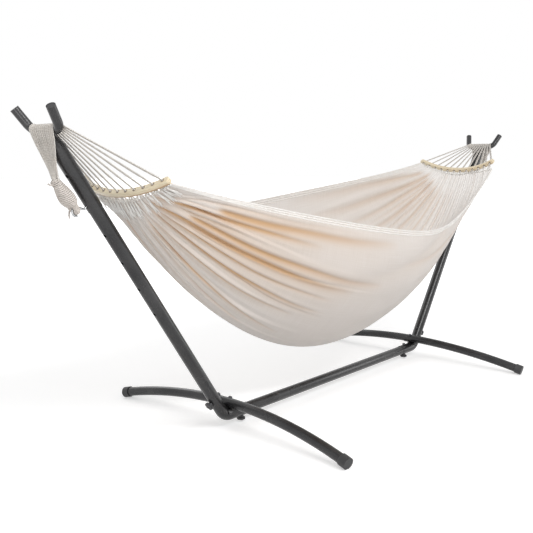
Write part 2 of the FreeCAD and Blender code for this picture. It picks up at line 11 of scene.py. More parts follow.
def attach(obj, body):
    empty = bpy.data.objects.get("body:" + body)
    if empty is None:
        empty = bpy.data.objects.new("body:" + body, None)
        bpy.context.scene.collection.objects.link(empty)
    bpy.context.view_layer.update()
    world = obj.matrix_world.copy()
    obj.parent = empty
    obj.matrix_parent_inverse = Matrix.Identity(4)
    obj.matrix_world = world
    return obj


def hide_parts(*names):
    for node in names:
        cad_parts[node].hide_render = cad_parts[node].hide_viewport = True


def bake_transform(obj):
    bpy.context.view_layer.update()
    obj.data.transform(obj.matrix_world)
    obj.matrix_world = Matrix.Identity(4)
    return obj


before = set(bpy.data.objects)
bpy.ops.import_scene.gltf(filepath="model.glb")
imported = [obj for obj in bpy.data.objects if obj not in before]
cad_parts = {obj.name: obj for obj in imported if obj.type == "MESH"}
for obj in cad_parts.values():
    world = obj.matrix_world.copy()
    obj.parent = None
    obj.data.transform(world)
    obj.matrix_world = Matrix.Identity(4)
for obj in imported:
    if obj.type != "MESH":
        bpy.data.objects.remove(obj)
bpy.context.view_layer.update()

bl_info = {
    "name": "Hammock on Stand",
    "version": (1, 0, 0),
    "blender": (4, 5, 0),
    "location": "View3D > Sidebar > Hammock",
    "description": "Soft pieces, finishes and studio for a corded cotton hammock on a forked steel stand",
    "category": "Object",
}

# Metres. +X runs along the hammock, +Y towards its back, +Z up, floor at z = 0.
SIDES = {"left": -1, "right": 1}

# ---- the stand's fork on +X: middle of its saddle, its tube, and the way its arm points ----
SADDLE = Vector((1.46233, 0, 1.11837))
FORK_RADIUS = 0.0143
FORK_STRAIGHT = 0.0481
FORK_BEND = 0.034
ARM_UP = Vector((0.566406, 0, 0.824126))
ARM_OUT = Vector((0.824126, 0, -0.566406))

# ---- bound rope eye outside the fork: its knot, the middle of its low loop, and its cords ----
KNOT = Vector((1.43486, 0, 0.96368))
BIGHT = Vector((1.37004, 0, 0.87337))
EYE_RADIUS = 0.014
LEG_LENGTH = 0.055
LEG_STEP = 0.0011
ROPE_RADIUS = 0.0080
EYE_CORD, EYE_PITCH = 0.0020, 0.0040
BODY_CORD, BODY_PITCH = 0.0027, 0.0058
BODY_START, BODY_END_GAP = 0.0125, 0.006
KNOT_CORD, KNOT_PITCH = 0.0029, 0.0056
KNOT_LENGTH = 0.021
TAIL_RADIUS, TAIL_LAY = 0.0034, 0.020

# ---- spreader bars: middle of each bar, hole spacing along it, and its bow ----
BAR_MIDDLE = {"left": Vector((1.216, 0, 0.925)), "right": Vector((1.180, 0, 0.983))}
BAR_BOW = 0.43867
BAR_HALF_THICK = 0.010
HOLES = 12
HOLE_PITCH = 0.038

# ---- strands: three through each hole, side by side over the fork, piled up at the knot ----
TWINS = 3
GROUP_PITCH = 0.0106
TWIN_PITCH = 0.0034
KNOT_HALF_WIDTH = 0.010
PILE_HALF = 0.0085
TIED_WIDTH = 0.975

# ---- yarns: a fan of thin ones from each hole to the cloth ----
YARNS = 6
YARN_RADIUS = 0.0009

# ---- hung shape of the cloth; its ends follow the bars' bow ----
EDGE_MIDDLE = {"left": 0.986, "right": 0.989}
EDGE_HEM = {"left": 0.962, "right": 0.969}
MIDDLE_X = -0.018
HALF_LENGTH = 1.198
LINE_HEIGHT, LINE_RISE = 0.954, 0.029
HEM_LIFT = 0.046
FRONT_SAG, BACK_SAG, SAG_SKEW = 0.257, 0.142, 0.65
BELLY_DEPTH = 0.740
FULLNESS = 0.9
HALF_AT_BAR = 0.218
HALF_AT_MIDDLE = 0.368
WAIST = 3.2
BULGE = 0.41
FLOOR_WIDTH, WALL_POWER = 0.35, 1.05
RIM = 0.98

# ---- the sheet's cells along and across, and the ribs of its hems ----
GRID_ALONG, GRID_ACROSS = 116, 396
HEM_RIBS, RIB_STEP = 3, 0.0120

# ---- colours that no user changes ----
DUST = (0.17, 0.165, 0.165)
PORE_BROWN = (0.34, 0.22, 0.11)
# painted shade along the lower edge of each bar
EDGE_SHADE_BROWN = (0.36, 0.19, 0.07)
# painted shade round the hole openings in each bar
HOLE_SHADE_BROWN = (0.16, 0.09, 0.045)
# painted light that lightens the sheet, most on its inside
LIT_WHITE = (0.93, 0.915, 0.90)
SLUB_BROWN = (0.52, 0.44, 0.35)


# ---------------------------------------------------------------- settings

class HammockClothSettings(bpy.types.PropertyGroup):
    flat_width: FloatProperty(
        name="Flat width", description="Width of the cloth before it is gathered",
        default=1.5, unit="LENGTH")
    flat_length: FloatProperty(
        name="Flat length", description="Length of the cloth between its gathered ends",
        default=2.5, unit="LENGTH")
    thickness: FloatProperty(
        name="Thickness", description="Thickness of the woven cotton",
        default=0.0020, unit="LENGTH")
    pleat_depth: FloatProperty(
        name="Pleat depth", description="Depth of the pleats beside the bars",
        default=0.0065, unit="LENGTH")
    fold_depth: FloatProperty(
        name="Crease depth", description="Depth of the deepest long crease",
        default=0.0070, unit="LENGTH")
    pleats: IntProperty(
        name="Pleats", description="Pleats across each gathered end",
        default=30, min=12, max=36)
    hem_cord: FloatProperty(
        name="Hem cord radius", description="Radius of the ribs woven into each hem",
        default=0.0034, unit="LENGTH")
    colour: FloatVectorProperty(
        name="Cotton", description="Natural colour of the cotton",
        default=(0.725, 0.67, 0.63), subtype="COLOR", size=3)
    # Painted warm shade and glow of light through the cotton, deep in the folds
    fold_shade_colour: FloatVectorProperty(
        name="Fold", description="Warm colour deep in the folds",
        default=(0.56, 0.33, 0.155), subtype="COLOR", size=3)
    hem_colour: FloatVectorProperty(
        name="Hem", description="Colour of the hem ribs",
        default=(0.86, 0.84, 0.815), subtype="COLOR", size=3)


class HammockCordSettings(bpy.types.PropertyGroup):
    radius: FloatProperty(
        name="Strand radius", description="Radius of one twisted cotton strand",
        default=0.0017, unit="LENGTH")
    lay: FloatProperty(
        name="Lay", description="Length of one turn of a strand's twist",
        default=0.022, unit="LENGTH")
    tuft: FloatProperty(
        name="Tuft length", description="Length of the frayed strand ends on the cloth",
        default=0.062, unit="LENGTH")
    colour: FloatVectorProperty(
        name="Cord", description="Colour of the twisted cotton",
        default=(0.84, 0.81, 0.765), subtype="COLOR", size=3)
    tuft_colour: FloatVectorProperty(
        name="Tuft", description="Colour of the frayed ends",
        default=(0.95, 0.94, 0.925), subtype="COLOR", size=3)


class HammockStandSettings(bpy.types.PropertyGroup):
    coat: FloatVectorProperty(
        name="Powder coat", description="Colour of the steel tubes",
        default=(0.016, 0.016, 0.017), subtype="COLOR", size=3)
    plastic: FloatVectorProperty(
        name="Plastic", description="Colour of caps, plugs and knobs",
        default=(0.022, 0.022, 0.024), subtype="COLOR", size=3)
    zinc: FloatVectorProperty(
        name="Zinc", description="Colour of the plated steel",
        default=(0.46, 0.47, 0.48), subtype="COLOR", size=3)
    wood: FloatVectorProperty(
        name="Wood", description="Pale colour of the bars",
        default=(0.80, 0.71, 0.53), subtype="COLOR", size=3)
    wood_grain: FloatVectorProperty(
        name="Grain", description="Darker colour of the wood's grain",
        default=(0.68, 0.53, 0.32), subtype="COLOR", size=3)


class HammockStageSettings(bpy.types.PropertyGroup):
    floor: FloatVectorProperty(
        name="Floor", description="Colour of the floor",
        default=(0.80, 0.80, 0.80), subtype="COLOR", size=3)
    key_power: FloatProperty(
        name="Key light", description="Power of the large light over the front",
        default=62.0, unit="POWER")
    fill_power: FloatProperty(
        name="Fill light", description="Power of the low light from the right",
        default=8.0, unit="POWER")
    sky: FloatProperty(name="Sky", description="Strength of the even white light all round", default=0.60)
    back_power: FloatProperty(
        name="Back light", description="Power of the light from behind",
        default=20.0, unit="POWER")
    side_power: FloatProperty(
        name="Side light", description="Power of the light from the left",
        default=19.0, unit="POWER")
    lens: FloatProperty(name="Lens", description="Focal length of the camera, in millimetres", default=49.2)


SETTINGS = {
    "hammock_cloth": HammockClothSettings,
    "hammock_cord": HammockCordSettings,
    "hammock_stand": HammockStandSettings,
    "hammock_stage": HammockStageSettings,
}


# ---------------------------------------------------------------- shader helpers

def link_in(tree, socket, value):
    """Plug an output into a socket, or set the socket's own value."""
    if isinstance(value, bpy.types.NodeSocket):
        tree.links.new(value, socket)
    elif isinstance(value, (tuple, list)) and len(value) == 3 and socket.type == "RGBA":
        socket.default_value = (*value, 1.0)
    else:
        socket.default_value = value


def node(tree, kind, inputs=None, **settings):
    made = tree.nodes.new(kind)
    for name, value in settings.items():
        setattr(made, name, value)
    for name, value in (inputs or {}).items():
        link_in(tree, made.inputs[name], value)
    return made


def math_node(tree, operation, first, second=0.0, clamp=False):
    made = node(tree, "ShaderNodeMath", {0: first, 1: second}, operation=operation, use_clamp=clamp)
    return made.outputs[0]


def remap(tree, value, low, high, to_low=0.0, to_high=1.0):
    made = node(tree, "ShaderNodeMapRange", {"Value": value, "From Min": low, "From Max": high,
                                             "To Min": to_low, "To Max": to_high})
    return made.outputs["Result"]


def mix_colour(tree, factor, first, second):
    made = tree.nodes.new("ShaderNodeMix")
    made.data_type = "RGBA"
    link_in(tree, made.inputs["Factor"], factor)
    link_in(tree, made.inputs[6], first)
    link_in(tree, made.inputs[7], second)
    return made.outputs[2]


def noise(tree, vector, scale, detail=2.0, rough=0.5):
    made = node(tree, "ShaderNodeTexNoise",
                {"Vector": vector, "Scale": scale, "Detail": detail, "Roughness": rough})
    return made.outputs["Fac"]


def scaled(tree, vector, scale):
    made = node(tree, "ShaderNodeMapping", {"Vector": vector, "Scale": scale})
    return made.outputs["Vector"]


def new_group(name, sockets_in, sockets_out):
    """Empty node group with the named sockets."""
    tree = bpy.data.node_groups.new(name, "ShaderNodeTree")
    for title, kind, default in sockets_in:
        socket = tree.interface.new_socket(name=title, in_out="INPUT", socket_type=kind)
        if default is not None:
            socket.default_value = default
    for title, kind in sockets_out:
        tree.interface.new_socket(name=title, in_out="OUTPUT", socket_type=kind)
    return tree, tree.nodes.new("NodeGroupInput"), tree.nodes.new("NodeGroupOutput")


def use_group(tree, group, inputs):
    made = tree.nodes.new("ShaderNodeGroup")
    made.node_tree = group
    for name, value in inputs.items():
        link_in(tree, made.inputs[name], value)
    return made.outputs


def plain_weave_group():
    """Over and under threads of a plain weave, with slubs that vary their height."""
    found = bpy.data.node_groups.get("plain_weave")
    if found:
        return found
    tree, start, end = new_group(
        "plain_weave",
        [("Vector", "NodeSocketVector", None), ("Threads per metre", "NodeSocketFloat", 900.0),
         ("Slub", "NodeSocketFloat", 0.35)],
        [("Height", "NodeSocketFloat"), ("Tone", "NodeSocketFloat")])
    parts = tree.nodes.new("ShaderNodeSeparateXYZ")
    tree.links.new(start.outputs["Vector"], parts.inputs[0])
    turns = math_node(tree, "MULTIPLY", start.outputs["Threads per metre"], math.pi)
    along = math_node(tree, "SINE", math_node(tree, "MULTIPLY", parts.outputs["X"], turns))
    across = math_node(tree, "SINE", math_node(tree, "MULTIPLY", parts.outputs["Y"], turns))
    checks = math_node(tree, "MULTIPLY", along, across)
    slub = noise(tree, scaled(tree, start.outputs["Vector"], (6.0, 340.0, 1.0)), 1.0, 3.0)
    slub_across = noise(tree, scaled(tree, start.outputs["Vector"], (260.0, 9.0, 1.0)), 1.0, 2.0)
    both = math_node(tree, "ADD", slub, slub_across)
    tone = math_node(tree, "MULTIPLY", math_node(tree, "SUBTRACT", both, 1.0), start.outputs["Slub"])
    threads = math_node(tree, "MULTIPLY", checks, 0.5)
    height = math_node(tree, "ADD", threads, math_node(tree, "MULTIPLY", tone, 2.0))
    tree.links.new(height, end.inputs["Height"])
    tree.links.new(tone, end.inputs["Tone"])
    return tree


def fibre_group():
    """Uneven tone and fuzz of cotton fibres, for cords, tufts and hems."""
    found = bpy.data.node_groups.get("cotton_fibre")
    if found:
        return found
    tree, start, end = new_group(
        "cotton_fibre",
        [("Vector", "NodeSocketVector", None), ("Colour", "NodeSocketColor", (0.8, 0.75, 0.7, 1.0)),
         ("Shade", "NodeSocketColor", (0.5, 0.42, 0.33, 1.0)), ("Scale", "NodeSocketFloat", 700.0)],
        [("Colour", "NodeSocketColor"), ("Height", "NodeSocketFloat")])
    fine = noise(tree, start.outputs["Vector"], start.outputs["Scale"], 3.0, 0.6)
    broad = noise(tree, start.outputs["Vector"], 34.0, 2.0)
    fuzz = remap(tree, fine, 0.35, 0.75, 0.0, 0.45)
    tone = math_node(tree, "ADD", fuzz, remap(tree, broad, 0.4, 0.7, 0.0, 0.22))
    shaded = mix_colour(tree, tone, start.outputs["Colour"], start.outputs["Shade"])
    tree.links.new(shaded, end.inputs["Colour"])
    tree.links.new(fine, end.inputs["Height"])
    return tree


def coat_group():
    """Fine orange peel and metallic flecks of a coated or moulded surface, with dust-dulled patches."""
    found = bpy.data.node_groups.get("coat_texture")
    if found:
        return found
    tree, start, end = new_group(
        "coat_texture",
        [("Vector", "NodeSocketVector", None), ("Colour", "NodeSocketColor", (0.06, 0.06, 0.065, 1.0)),
         ("Fleck", "NodeSocketColor", (0.2, 0.2, 0.21, 1.0)), ("Fleck share", "NodeSocketFloat", 0.3),
         ("Roughness", "NodeSocketFloat", 0.42), ("Scale", "NodeSocketFloat", 620.0)],
        [("Colour", "NodeSocketColor"), ("Roughness", "NodeSocketFloat"), ("Height", "NodeSocketFloat")])
    peel = noise(tree, start.outputs["Vector"], start.outputs["Scale"], 2.0, 0.55)
    fine_scale = math_node(tree, "MULTIPLY", start.outputs["Scale"], 2.3)
    fleck = remap(tree, noise(tree, start.outputs["Vector"], fine_scale, 1.0), 0.58, 0.72)
    cloud = noise(tree, start.outputs["Vector"], 7.0, 3.0)
    share = math_node(tree, "MULTIPLY", fleck, start.outputs["Fleck share"])
    flecked = mix_colour(tree, share, start.outputs["Colour"], start.outputs["Fleck"])
    dulled = mix_colour(tree, remap(tree, cloud, 0.35, 0.75, 0.0, 0.16), flecked, DUST)
    tree.links.new(dulled, end.inputs["Colour"])
    rough = math_node(tree, "ADD", start.outputs["Roughness"], remap(tree, cloud, 0.3, 0.7, -0.05, 0.07))
    tree.links.new(rough, end.inputs["Roughness"])
    tree.links.new(peel, end.inputs["Height"])
    return tree


def new_material(name):
    """Empty material with a Principled shader, and that shader."""
    material = bpy.data.materials.new(name)
    material.use_nodes = True
    tree = material.node_tree
    tree.nodes.clear()
    shader = tree.nodes.new("ShaderNodeBsdfPrincipled")
    output = tree.nodes.new("ShaderNodeOutputMaterial")
    tree.links.new(shader.outputs[0], output.inputs["Surface"])
    return material, tree, shader


def bump(tree, shader, height, strength, distance):
    made = node(tree, "ShaderNodeBump", {"Height": height, "Strength": strength, "Distance": distance})
    tree.links.new(made.outputs["Normal"], shader.inputs["Normal"])


def object_coords(tree):
    return tree.nodes.new("ShaderNodeTexCoord").outputs["Object"]


def coated_material(name, colour, fleck, share, rough, scale, metallic=0.0, depth=0.00012):
    material, tree, shader = new_material(name)
    made = use_group(tree, coat_group(), {"Vector": object_coords(tree), "Colour": colour, "Fleck": fleck,
                                          "Fleck share": share, "Roughness": rough, "Scale": scale})
    tree.links.new(made["Colour"], shader.inputs["Base Color"])
    tree.links.new(made["Roughness"], shader.inputs["Roughness"])
    shader.inputs["Metallic"].default_value = metallic
    bump(tree, shader, made["Height"], 0.35, depth)
    return material


def dot_with(tree, vector, way, start):
    """How far a place lies along a direction, from a start."""
    made = node(tree, "ShaderNodeVectorMath", {0: vector, 1: tuple(way)}, operation="DOT_PRODUCT")
    return math_node(tree, "SUBTRACT", made.outputs["Value"], way.dot(start))


def combined(tree, **parts):
    return node(tree, "ShaderNodeCombineXYZ", parts).outputs[0]


def length_of(tree, vector):
    return node(tree, "ShaderNodeVectorMath", {0: vector}, operation="LENGTH").outputs["Value"]


def wood_material(side, colour, grain_colour):
    """Pale bent wood whose grain follows the bar, with painted shade along its lower edge and round its
    holes.
    """
    material, tree, shader = new_material("bent_pale_wood_" + side)
    where = object_coords(tree)
    middle, through, rise, _ = bar_axes(side)
    middle, through, rise = (on_side(way, side) for way in (middle, through, rise))
    centre = middle + rise * BAR_BOW
    across = dot_with(tree, where, Vector((0, 1, 0)), centre)
    down = dot_with(tree, where, -rise, centre)
    depth = dot_with(tree, where, through, middle)
    run = math_node(tree, "MULTIPLY", math_node(tree, "ARCTAN2", across, down), BAR_BOW)
    lift = math_node(tree, "SUBTRACT", length_of(tree, combined(tree, X=across, Y=down)), BAR_BOW)
    bent = combined(tree, X=depth, Y=run, Z=lift)
    grain = noise(tree, scaled(tree, bent, (150.0, 6.0, 150.0)), 1.0, 5.0, 0.62)
    pores = noise(tree, scaled(tree, bent, (620.0, 26.0, 620.0)), 1.0, 2.0, 0.5)
    bands = noise(tree, scaled(tree, bent, (34.0, 1.8, 34.0)), 1.0, 2.0)
    banded = remap(tree, bands, 0.42, 0.65, 0.0, 0.3)
    tone = math_node(tree, "ADD", remap(tree, grain, 0.40, 0.68, 0.0, 0.5), banded, True)
    base = mix_colour(tree, tone, colour, grain_colour)
    dark = mix_colour(tree, remap(tree, pores, 0.6, 0.75, 0.0, 0.4), base, PORE_BROWN)
    # Painted shade: the lower edge of the bar's cloth-side face is darkened towards a brown shade colour.
    corner = math_node(tree, "ADD", lift, math_node(tree, "MULTIPLY", depth, 0.35))
    edge = remap(tree, corner, 0.0118, 0.0138, 0.0, 0.85)
    edge_shaded = mix_colour(tree, edge, dark, EDGE_SHADE_BROWN)
    # Painted shade: a dark brown disc round each hole where the cords go into the bar.
    step = math_node(tree, "FRACT", math_node(tree, "DIVIDE", run, HOLE_PITCH))
    aside = math_node(tree, "MULTIPLY", math_node(tree, "SUBTRACT", step, 0.5), HOLE_PITCH)
    from_hole = length_of(tree, combined(tree, X=aside, Y=lift))
    hole_shade = remap(tree, from_hole, 0.0050, 0.0074, 0.92, 0.0)
    tree.links.new(mix_colour(tree, hole_shade, edge_shaded, HOLE_SHADE_BROWN), shader.inputs["Base Color"])
    tree.links.new(remap(tree, grain, 0.3, 0.7, 0.36, 0.5), shader.inputs["Roughness"])
    shader.inputs["Coat Weight"].default_value = 0.25
    shader.inputs["Coat Roughness"].default_value = 0.3
    bump(tree, shader, pores, 0.25, 0.00015)
    return material


def cloth_material(name, attribute, cloth, painted_light):
    """Plain woven cotton, lifted towards white by painted light, with painted warm shade and glow deep in
    its folds, and its weave on the sheet's own map.
    """
    material, tree, shader = new_material(name)
    weave_map = tree.nodes.new("ShaderNodeUVMap")
    weave_map.uv_map = "flat"
    woven = use_group(tree, plain_weave_group(),
                      {"Vector": weave_map.outputs["UV"], "Threads per metre": 850.0, "Slub": 0.4})
    deep = node(tree, "ShaderNodeAttribute", attribute_name=attribute).outputs["Fac"]
    where = object_coords(tree)
    wash = remap(tree, noise(tree, where, 3.2, 3.0), 0.35, 0.7, 0.0, 0.35)
    base = mix_colour(tree, wash, tuple(cloth.colour), tuple(c * 0.9 for c in cloth.colour))
    parts = node(tree, "ShaderNodeSeparateXYZ", {0: where})
    reach = math_node(tree, "ABSOLUTE", parts.outputs["X"])
    # Painted light: the sheet is lightened towards white, far more on its inside copy than its outside, and
    # most near the bars.
    near_bar = remap(tree, reach, 0.86, 1.12, 0.6 * painted_light, painted_light)
    lit_base = mix_colour(tree, near_bar, base, LIT_WHITE)
    # Painted light also lightens the fold colour, mostly on the inside copy.
    fold_shade_colour = tuple(c + (0.9 - c) * 0.55 * painted_light for c in cloth.fold_shade_colour)
    # Painted shade and glow: the fold weights mix the cloth towards the warm fold colour.
    warm = mix_colour(tree, deep, lit_base, fold_shade_colour)
    toned = mix_colour(tree, remap(tree, woven["Tone"], -0.12, 0.14, 0.0, 0.22), warm, SLUB_BROWN)
    tree.links.new(toned, shader.inputs["Base Color"])
    shader.inputs["Roughness"].default_value = 0.85
    shader.inputs["Specular IOR Level"].default_value = 0.25
    shader.inputs["Sheen Weight"].default_value = 0.25
    shader.inputs["Sheen Roughness"].default_value = 0.5
    bump(tree, shader, woven["Height"], 0.5, 0.0003)
    return material


def fibre_material(name, colour, shade, scale):
    material, tree, shader = new_material(name)
    # Painted shade: strands that carry this attribute are darkened, as if shaded by their neighbours.
    neighbour_shade = node(tree, "ShaderNodeAttribute", attribute_name="neighbour_shade").outputs["Fac"]
    own = mix_colour(tree, neighbour_shade, colour, tuple(0.45 * c for c in shade))
    made = use_group(tree, fibre_group(),
                     {"Vector": object_coords(tree), "Colour": own, "Shade": shade, "Scale": scale})
    tree.links.new(made["Colour"], shader.inputs["Base Color"])
    shader.inputs["Roughness"].default_value = 0.88
    shader.inputs["Specular IOR Level"].default_value = 0.2
    shader.inputs["Sheen Weight"].default_value = 0.3
    shader.inputs["Sheen Roughness"].default_value = 0.45
    bump(tree, shader, made["Height"], 0.6, 0.0005)
    return material


# ---------------------------------------------------------------- shape helpers

def add_piece(bm, name, materials, smooth=True):
    """New object at the origin from a bmesh."""
    mesh = bpy.data.meshes.new(name)
    bm.to_mesh(mesh)
    bm.free()
    for material in materials:
        mesh.materials.append(material)
    for face in mesh.polygons:
        face.use_smooth = smooth
    piece = bpy.data.objects.new(name, mesh)
    bpy.context.scene.collection.objects.link(piece)
    return piece


def spline_points(controls, step):
    """Even points along the smooth line that these control points guide."""
    curve = bpy.data.curves.new("guide", "CURVE")
    curve.dimensions = "3D"
    spline = curve.splines.new("NURBS")
    spline.points.add(len(controls) - 1)
    for point, place in zip(spline.points, controls):
        point.co = (*place, 1.0)
    spline.order_u = 3
    spline.use_endpoint_u = True
    spline.resolution_u = 24
    guide = bpy.data.objects.new("guide", curve)
    mesh = bpy.data.meshes.new_from_object(guide)
    line = np.array([v.co for v in mesh.vertices])
    bpy.data.objects.remove(guide)
    bpy.data.curves.remove(curve)
    bpy.data.meshes.remove(mesh)
    return even_line(line, step)


def even_line(line, step):
    runs = np.linalg.norm(np.diff(line, axis=0), axis=1)
    length = np.concatenate([[0], np.cumsum(runs)])
    count = max(2, int(round(length[-1] / step)) + 1)
    places = np.linspace(0, length[-1], count)
    return [Vector([np.interp(p, length, line[:, i]) for i in range(3)]) for p in places]


def ring_frames(line):
    """Rotation at each point of a line, carried along it without spinning."""
    frames = []
    turn = None
    for i, point in enumerate(line):
        ahead = (line[min(i + 1, len(line) - 1)] - line[max(i - 1, 0)]).normalized()
        if turn is None:
            turn = Vector((0, 0, 1)).rotation_difference(ahead)
        else:
            turn = last.rotation_difference(ahead) @ turn
        last = ahead
        frames.append(Matrix.Translation(point) @ turn.to_matrix().to_4x4())
    return frames


def sweep(bm, line, radius, sides, lay=0.0, lobes=0):
    """Round or lobed cord extruded ring by ring along a line. radius may depend on the share of the way."""
    size = radius if callable(radius) else (lambda share: radius)
    frames = ring_frames(line)
    spun = 0.0
    made = bmesh.ops.create_circle(bm, cap_ends=True, segments=sides, radius=1.0)["verts"]
    if lobes:
        dips = [v for i, v in enumerate(made) if i % (sides // lobes) == 0]
        bmesh.ops.scale(bm, verts=dips, vec=(0.72, 0.72, 0.72))
    cap = made[0].link_faces[0]
    bmesh.ops.reverse_faces(bm, faces=[cap])
    edges = list(cap.edges)
    last_place = frames[0] @ Matrix.Scale(size(0.0), 4)
    bmesh.ops.transform(bm, matrix=last_place, verts=list(made))
    for i in range(1, len(line)):
        if lay:
            spun += 2 * math.pi * (line[i] - line[i - 1]).length / lay
        out = bmesh.ops.extrude_edge_only(bm, edges=edges)["geom"]
        verts = [g for g in out if isinstance(g, bmesh.types.BMVert)]
        edges = [g for g in out if isinstance(g, bmesh.types.BMEdge)]
        place = frames[i] @ Matrix.Rotation(spun, 4, "Z") @ Matrix.Scale(size(i / (len(line) - 1)), 4)
        bmesh.ops.transform(bm, matrix=place @ last_place.inverted(), verts=verts)
        last_place = place
    bmesh.ops.edgeloop_fill(bm, edges=edges)


def gathered(parts, build):
    """Mesh that holds the result of build(bm, part) for each part, each made on its own."""
    whole = bmesh.new()
    for part in parts:
        single = bmesh.new()
        build(single, part)
        bmesh.ops.recalc_face_normals(single, faces=single.faces)
        mesh = bpy.data.meshes.new("part")
        single.to_mesh(mesh)
        single.free()
        whole.from_mesh(mesh)
        bpy.data.meshes.remove(mesh)
    return whole


def on_side(point, side):
    return Vector((point.x * SIDES[side], point.y, point.z))


# ---------------------------------------------------------------- hung cloth

def side_climb(share):
    """Share of its height that the cloth has climbed, from 0 at its low line to 1 at its hem."""
    lowest = FLOOR_WIDTH ** WALL_POWER
    highest = math.hypot(1, FLOOR_WIDTH) ** WALL_POWER
    return (np.hypot(share, FLOOR_WIDTH) ** WALL_POWER - lowest) / (highest - lowest)


def hung(u, v):
    """Smooth hung surface: u from the left bar to the right bar, v from the front hem to the back hem."""
    full = 1 - u * u
    x = MIDDLE_X + HALF_LENGTH * u
    line = LINE_HEIGHT + LINE_RISE * u
    half = HALF_AT_BAR + (HALF_AT_MIDDLE - HALF_AT_BAR) * full ** WAIST
    sag = np.where(v < 0, FRONT_SAG * np.exp(SAG_SKEW * u), BACK_SAG * np.exp(-SAG_SKEW * u))
    hem = line + HEM_LIFT - sag * full ** FULLNESS
    belly = line - BELLY_DEPTH * full ** FULLNESS
    share = np.abs(v)
    y = np.sign(v) * half * share * (1 + BULGE * full * np.sin(np.pi * share))
    return np.stack([x, y, belly + (hem - belly) * side_climb(share)], axis=-1)


def edge_of(side, v):
    """Where the cloth ends along the hammock, nearer to the bar at its middle than at its hems."""
    return EDGE_MIDDLE[side] - (EDGE_MIDDLE[side] - EDGE_HEM[side]) * v * v


def gathering(side, away):
    """How much of their width apart the creases keep near a bar, by distance from it."""
    pinch, reach = {"left": (0.45, 0.055), "right": (0.30, 0.12)}[side]
    return 1 - pinch * np.exp(-away / reach)


class Pleats:
    """Pleats that start at one bar and fade towards the middle, each with its own depth and length."""

    def __init__(self, seed, count, depth):
        rng = random.Random(seed)
        pitch = 2 * RIM / count
        self.folds = []
        for i in range(count):
            place = -RIM + (i + 0.5) * pitch + rng.uniform(-0.25, 0.25) * pitch
            self.folds.append((place, pitch * rng.uniform(0.20, 0.34), depth * rng.uniform(0.45, 1.2),
                               rng.uniform(0.07, 0.34), rng.random()))

    @staticmethod
    def drawn_in(place, away):
        """Place across a pleat takes, nearer to the middle where the cloth is tied."""
        return place * (1 - 0.16 * np.exp(-away / 0.06))

    def height(self, v, away):
        total = np.zeros_like(v)
        for place, width, depth, length, _ in self.folds:
            valley = np.exp(-((v - self.drawn_in(place, away)) / width) ** 2)
            total += -depth * valley * np.exp(-(away / length) ** 1.3)
        return total

    # Weight of the painted warm shade and glow in each pleat's valley.
    def warmth(self, v, away, offset):
        total = np.zeros_like(v)
        for place, width, _, length, chance in self.folds:
            glow = max(0.0, chance - 0.35) * 0.55
            valley = np.exp(-((v - (self.drawn_in(place, away) + offset)) / (width * 0.6)) ** 2)
            total += glow * valley * np.exp(-(away / length) ** 1.5)
        return total


# long creases: the end they start at, the face they sink into (1 outside, -1 inside), place across at their
# start and at their end, distances from that end where they start and fade, half width, depth and warmth
# (weight of the painted warm shade and glow in the crease)
CREASES = (
    ("left", 1, -0.845, -0.843, 0.02, 0.60, 0.0125, 1.15, 1.20),
    ("left", 1, -0.895, -0.915, 0.20, 0.95, 0.0190, 0.90, 0.95),
    ("left", 1, -0.695, -0.610, 0.02, 0.78, 0.0160, 1.30, 1.35),
    ("left", 1, -0.745, -0.660, 0.12, 0.92, 0.0150, 1.05, 1.00),
    ("left", 1, -0.605, -0.540, 0.05, 0.72, 0.0080, 0.80, 0.80),
    ("left", 1, -0.530, -0.450, 0.04, 0.70, 0.0090, 1.00, 1.10),
    ("left", 1, -0.420, -0.390, 0.05, 0.60, 0.0070, 0.80, 0.90),
    ("left", 1, -0.485, -0.415, 0.28, 0.72, 0.0060, 0.70, 0.25),
    ("left", 1, -0.325, -0.210, 0.05, 0.60, 0.0080, 0.80, 0.95),
    ("left", 1, -0.230, -0.130, 0.06, 0.46, 0.0065, 0.70, 0.75),
    ("left", 1, -0.100, -0.020, 0.05, 0.40, 0.0070, 0.70, 0.75),
    ("left", 1, -0.945, -0.950, 0.06, 0.80, 0.0100, 0.60, 0.25),
    ("left", 1, -0.790, -0.785, 0.08, 0.34, 0.0080, 0.50, 0.30),
    ("right", 1, -0.990, -0.570, 0.55, 1.40, 0.0450, 1.10, 0.10),
    ("right", 1, -0.900, -0.780, 0.10, 1.00, 0.0160, 0.70, 0.40),
    ("right", 1, -0.760, -0.640, 0.10, 0.85, 0.0120, 0.60, 0.40),
    ("right", -1, 0.945, 0.950, 0.05, 0.90, 0.0240, 1.30, 0.80),
    ("right", -1, 0.820, 0.835, 0.03, 0.80, 0.0230, 1.40, 0.95),
    ("right", -1, 0.735, 0.705, 0.05, 0.66, 0.0170, 1.20, 0.85),
    ("right", -1, 0.670, 0.650, 0.07, 0.50, 0.0110, 0.80, 0.55),
    ("right", -1, 0.605, 0.595, 0.04, 0.60, 0.0170, 1.20, 0.90),
    ("right", -1, 0.535, 0.530, 0.07, 0.45, 0.0110, 0.80, 0.60),
    ("right", -1, 0.465, 0.470, 0.05, 0.50, 0.0140, 1.05, 0.85),
    ("right", -1, 0.400, 0.400, 0.08, 0.36, 0.0090, 0.70, 0.50),
    ("right", -1, 0.335, 0.345, 0.05, 0.44, 0.0120, 0.95, 0.75),
    ("right", -1, 0.220, 0.240, 0.06, 0.40, 0.0110, 0.90, 0.65),
    ("right", -1, 0.080, 0.100, 0.05, 0.36, 0.0100, 0.80, 0.55),
    ("right", -1, -0.080, -0.060, 0.05, 0.32, 0.0100, 0.80, 0.50),
    ("right", -1, -0.260, -0.240, 0.06, 0.30, 0.0100, 0.60, 0.40),
)


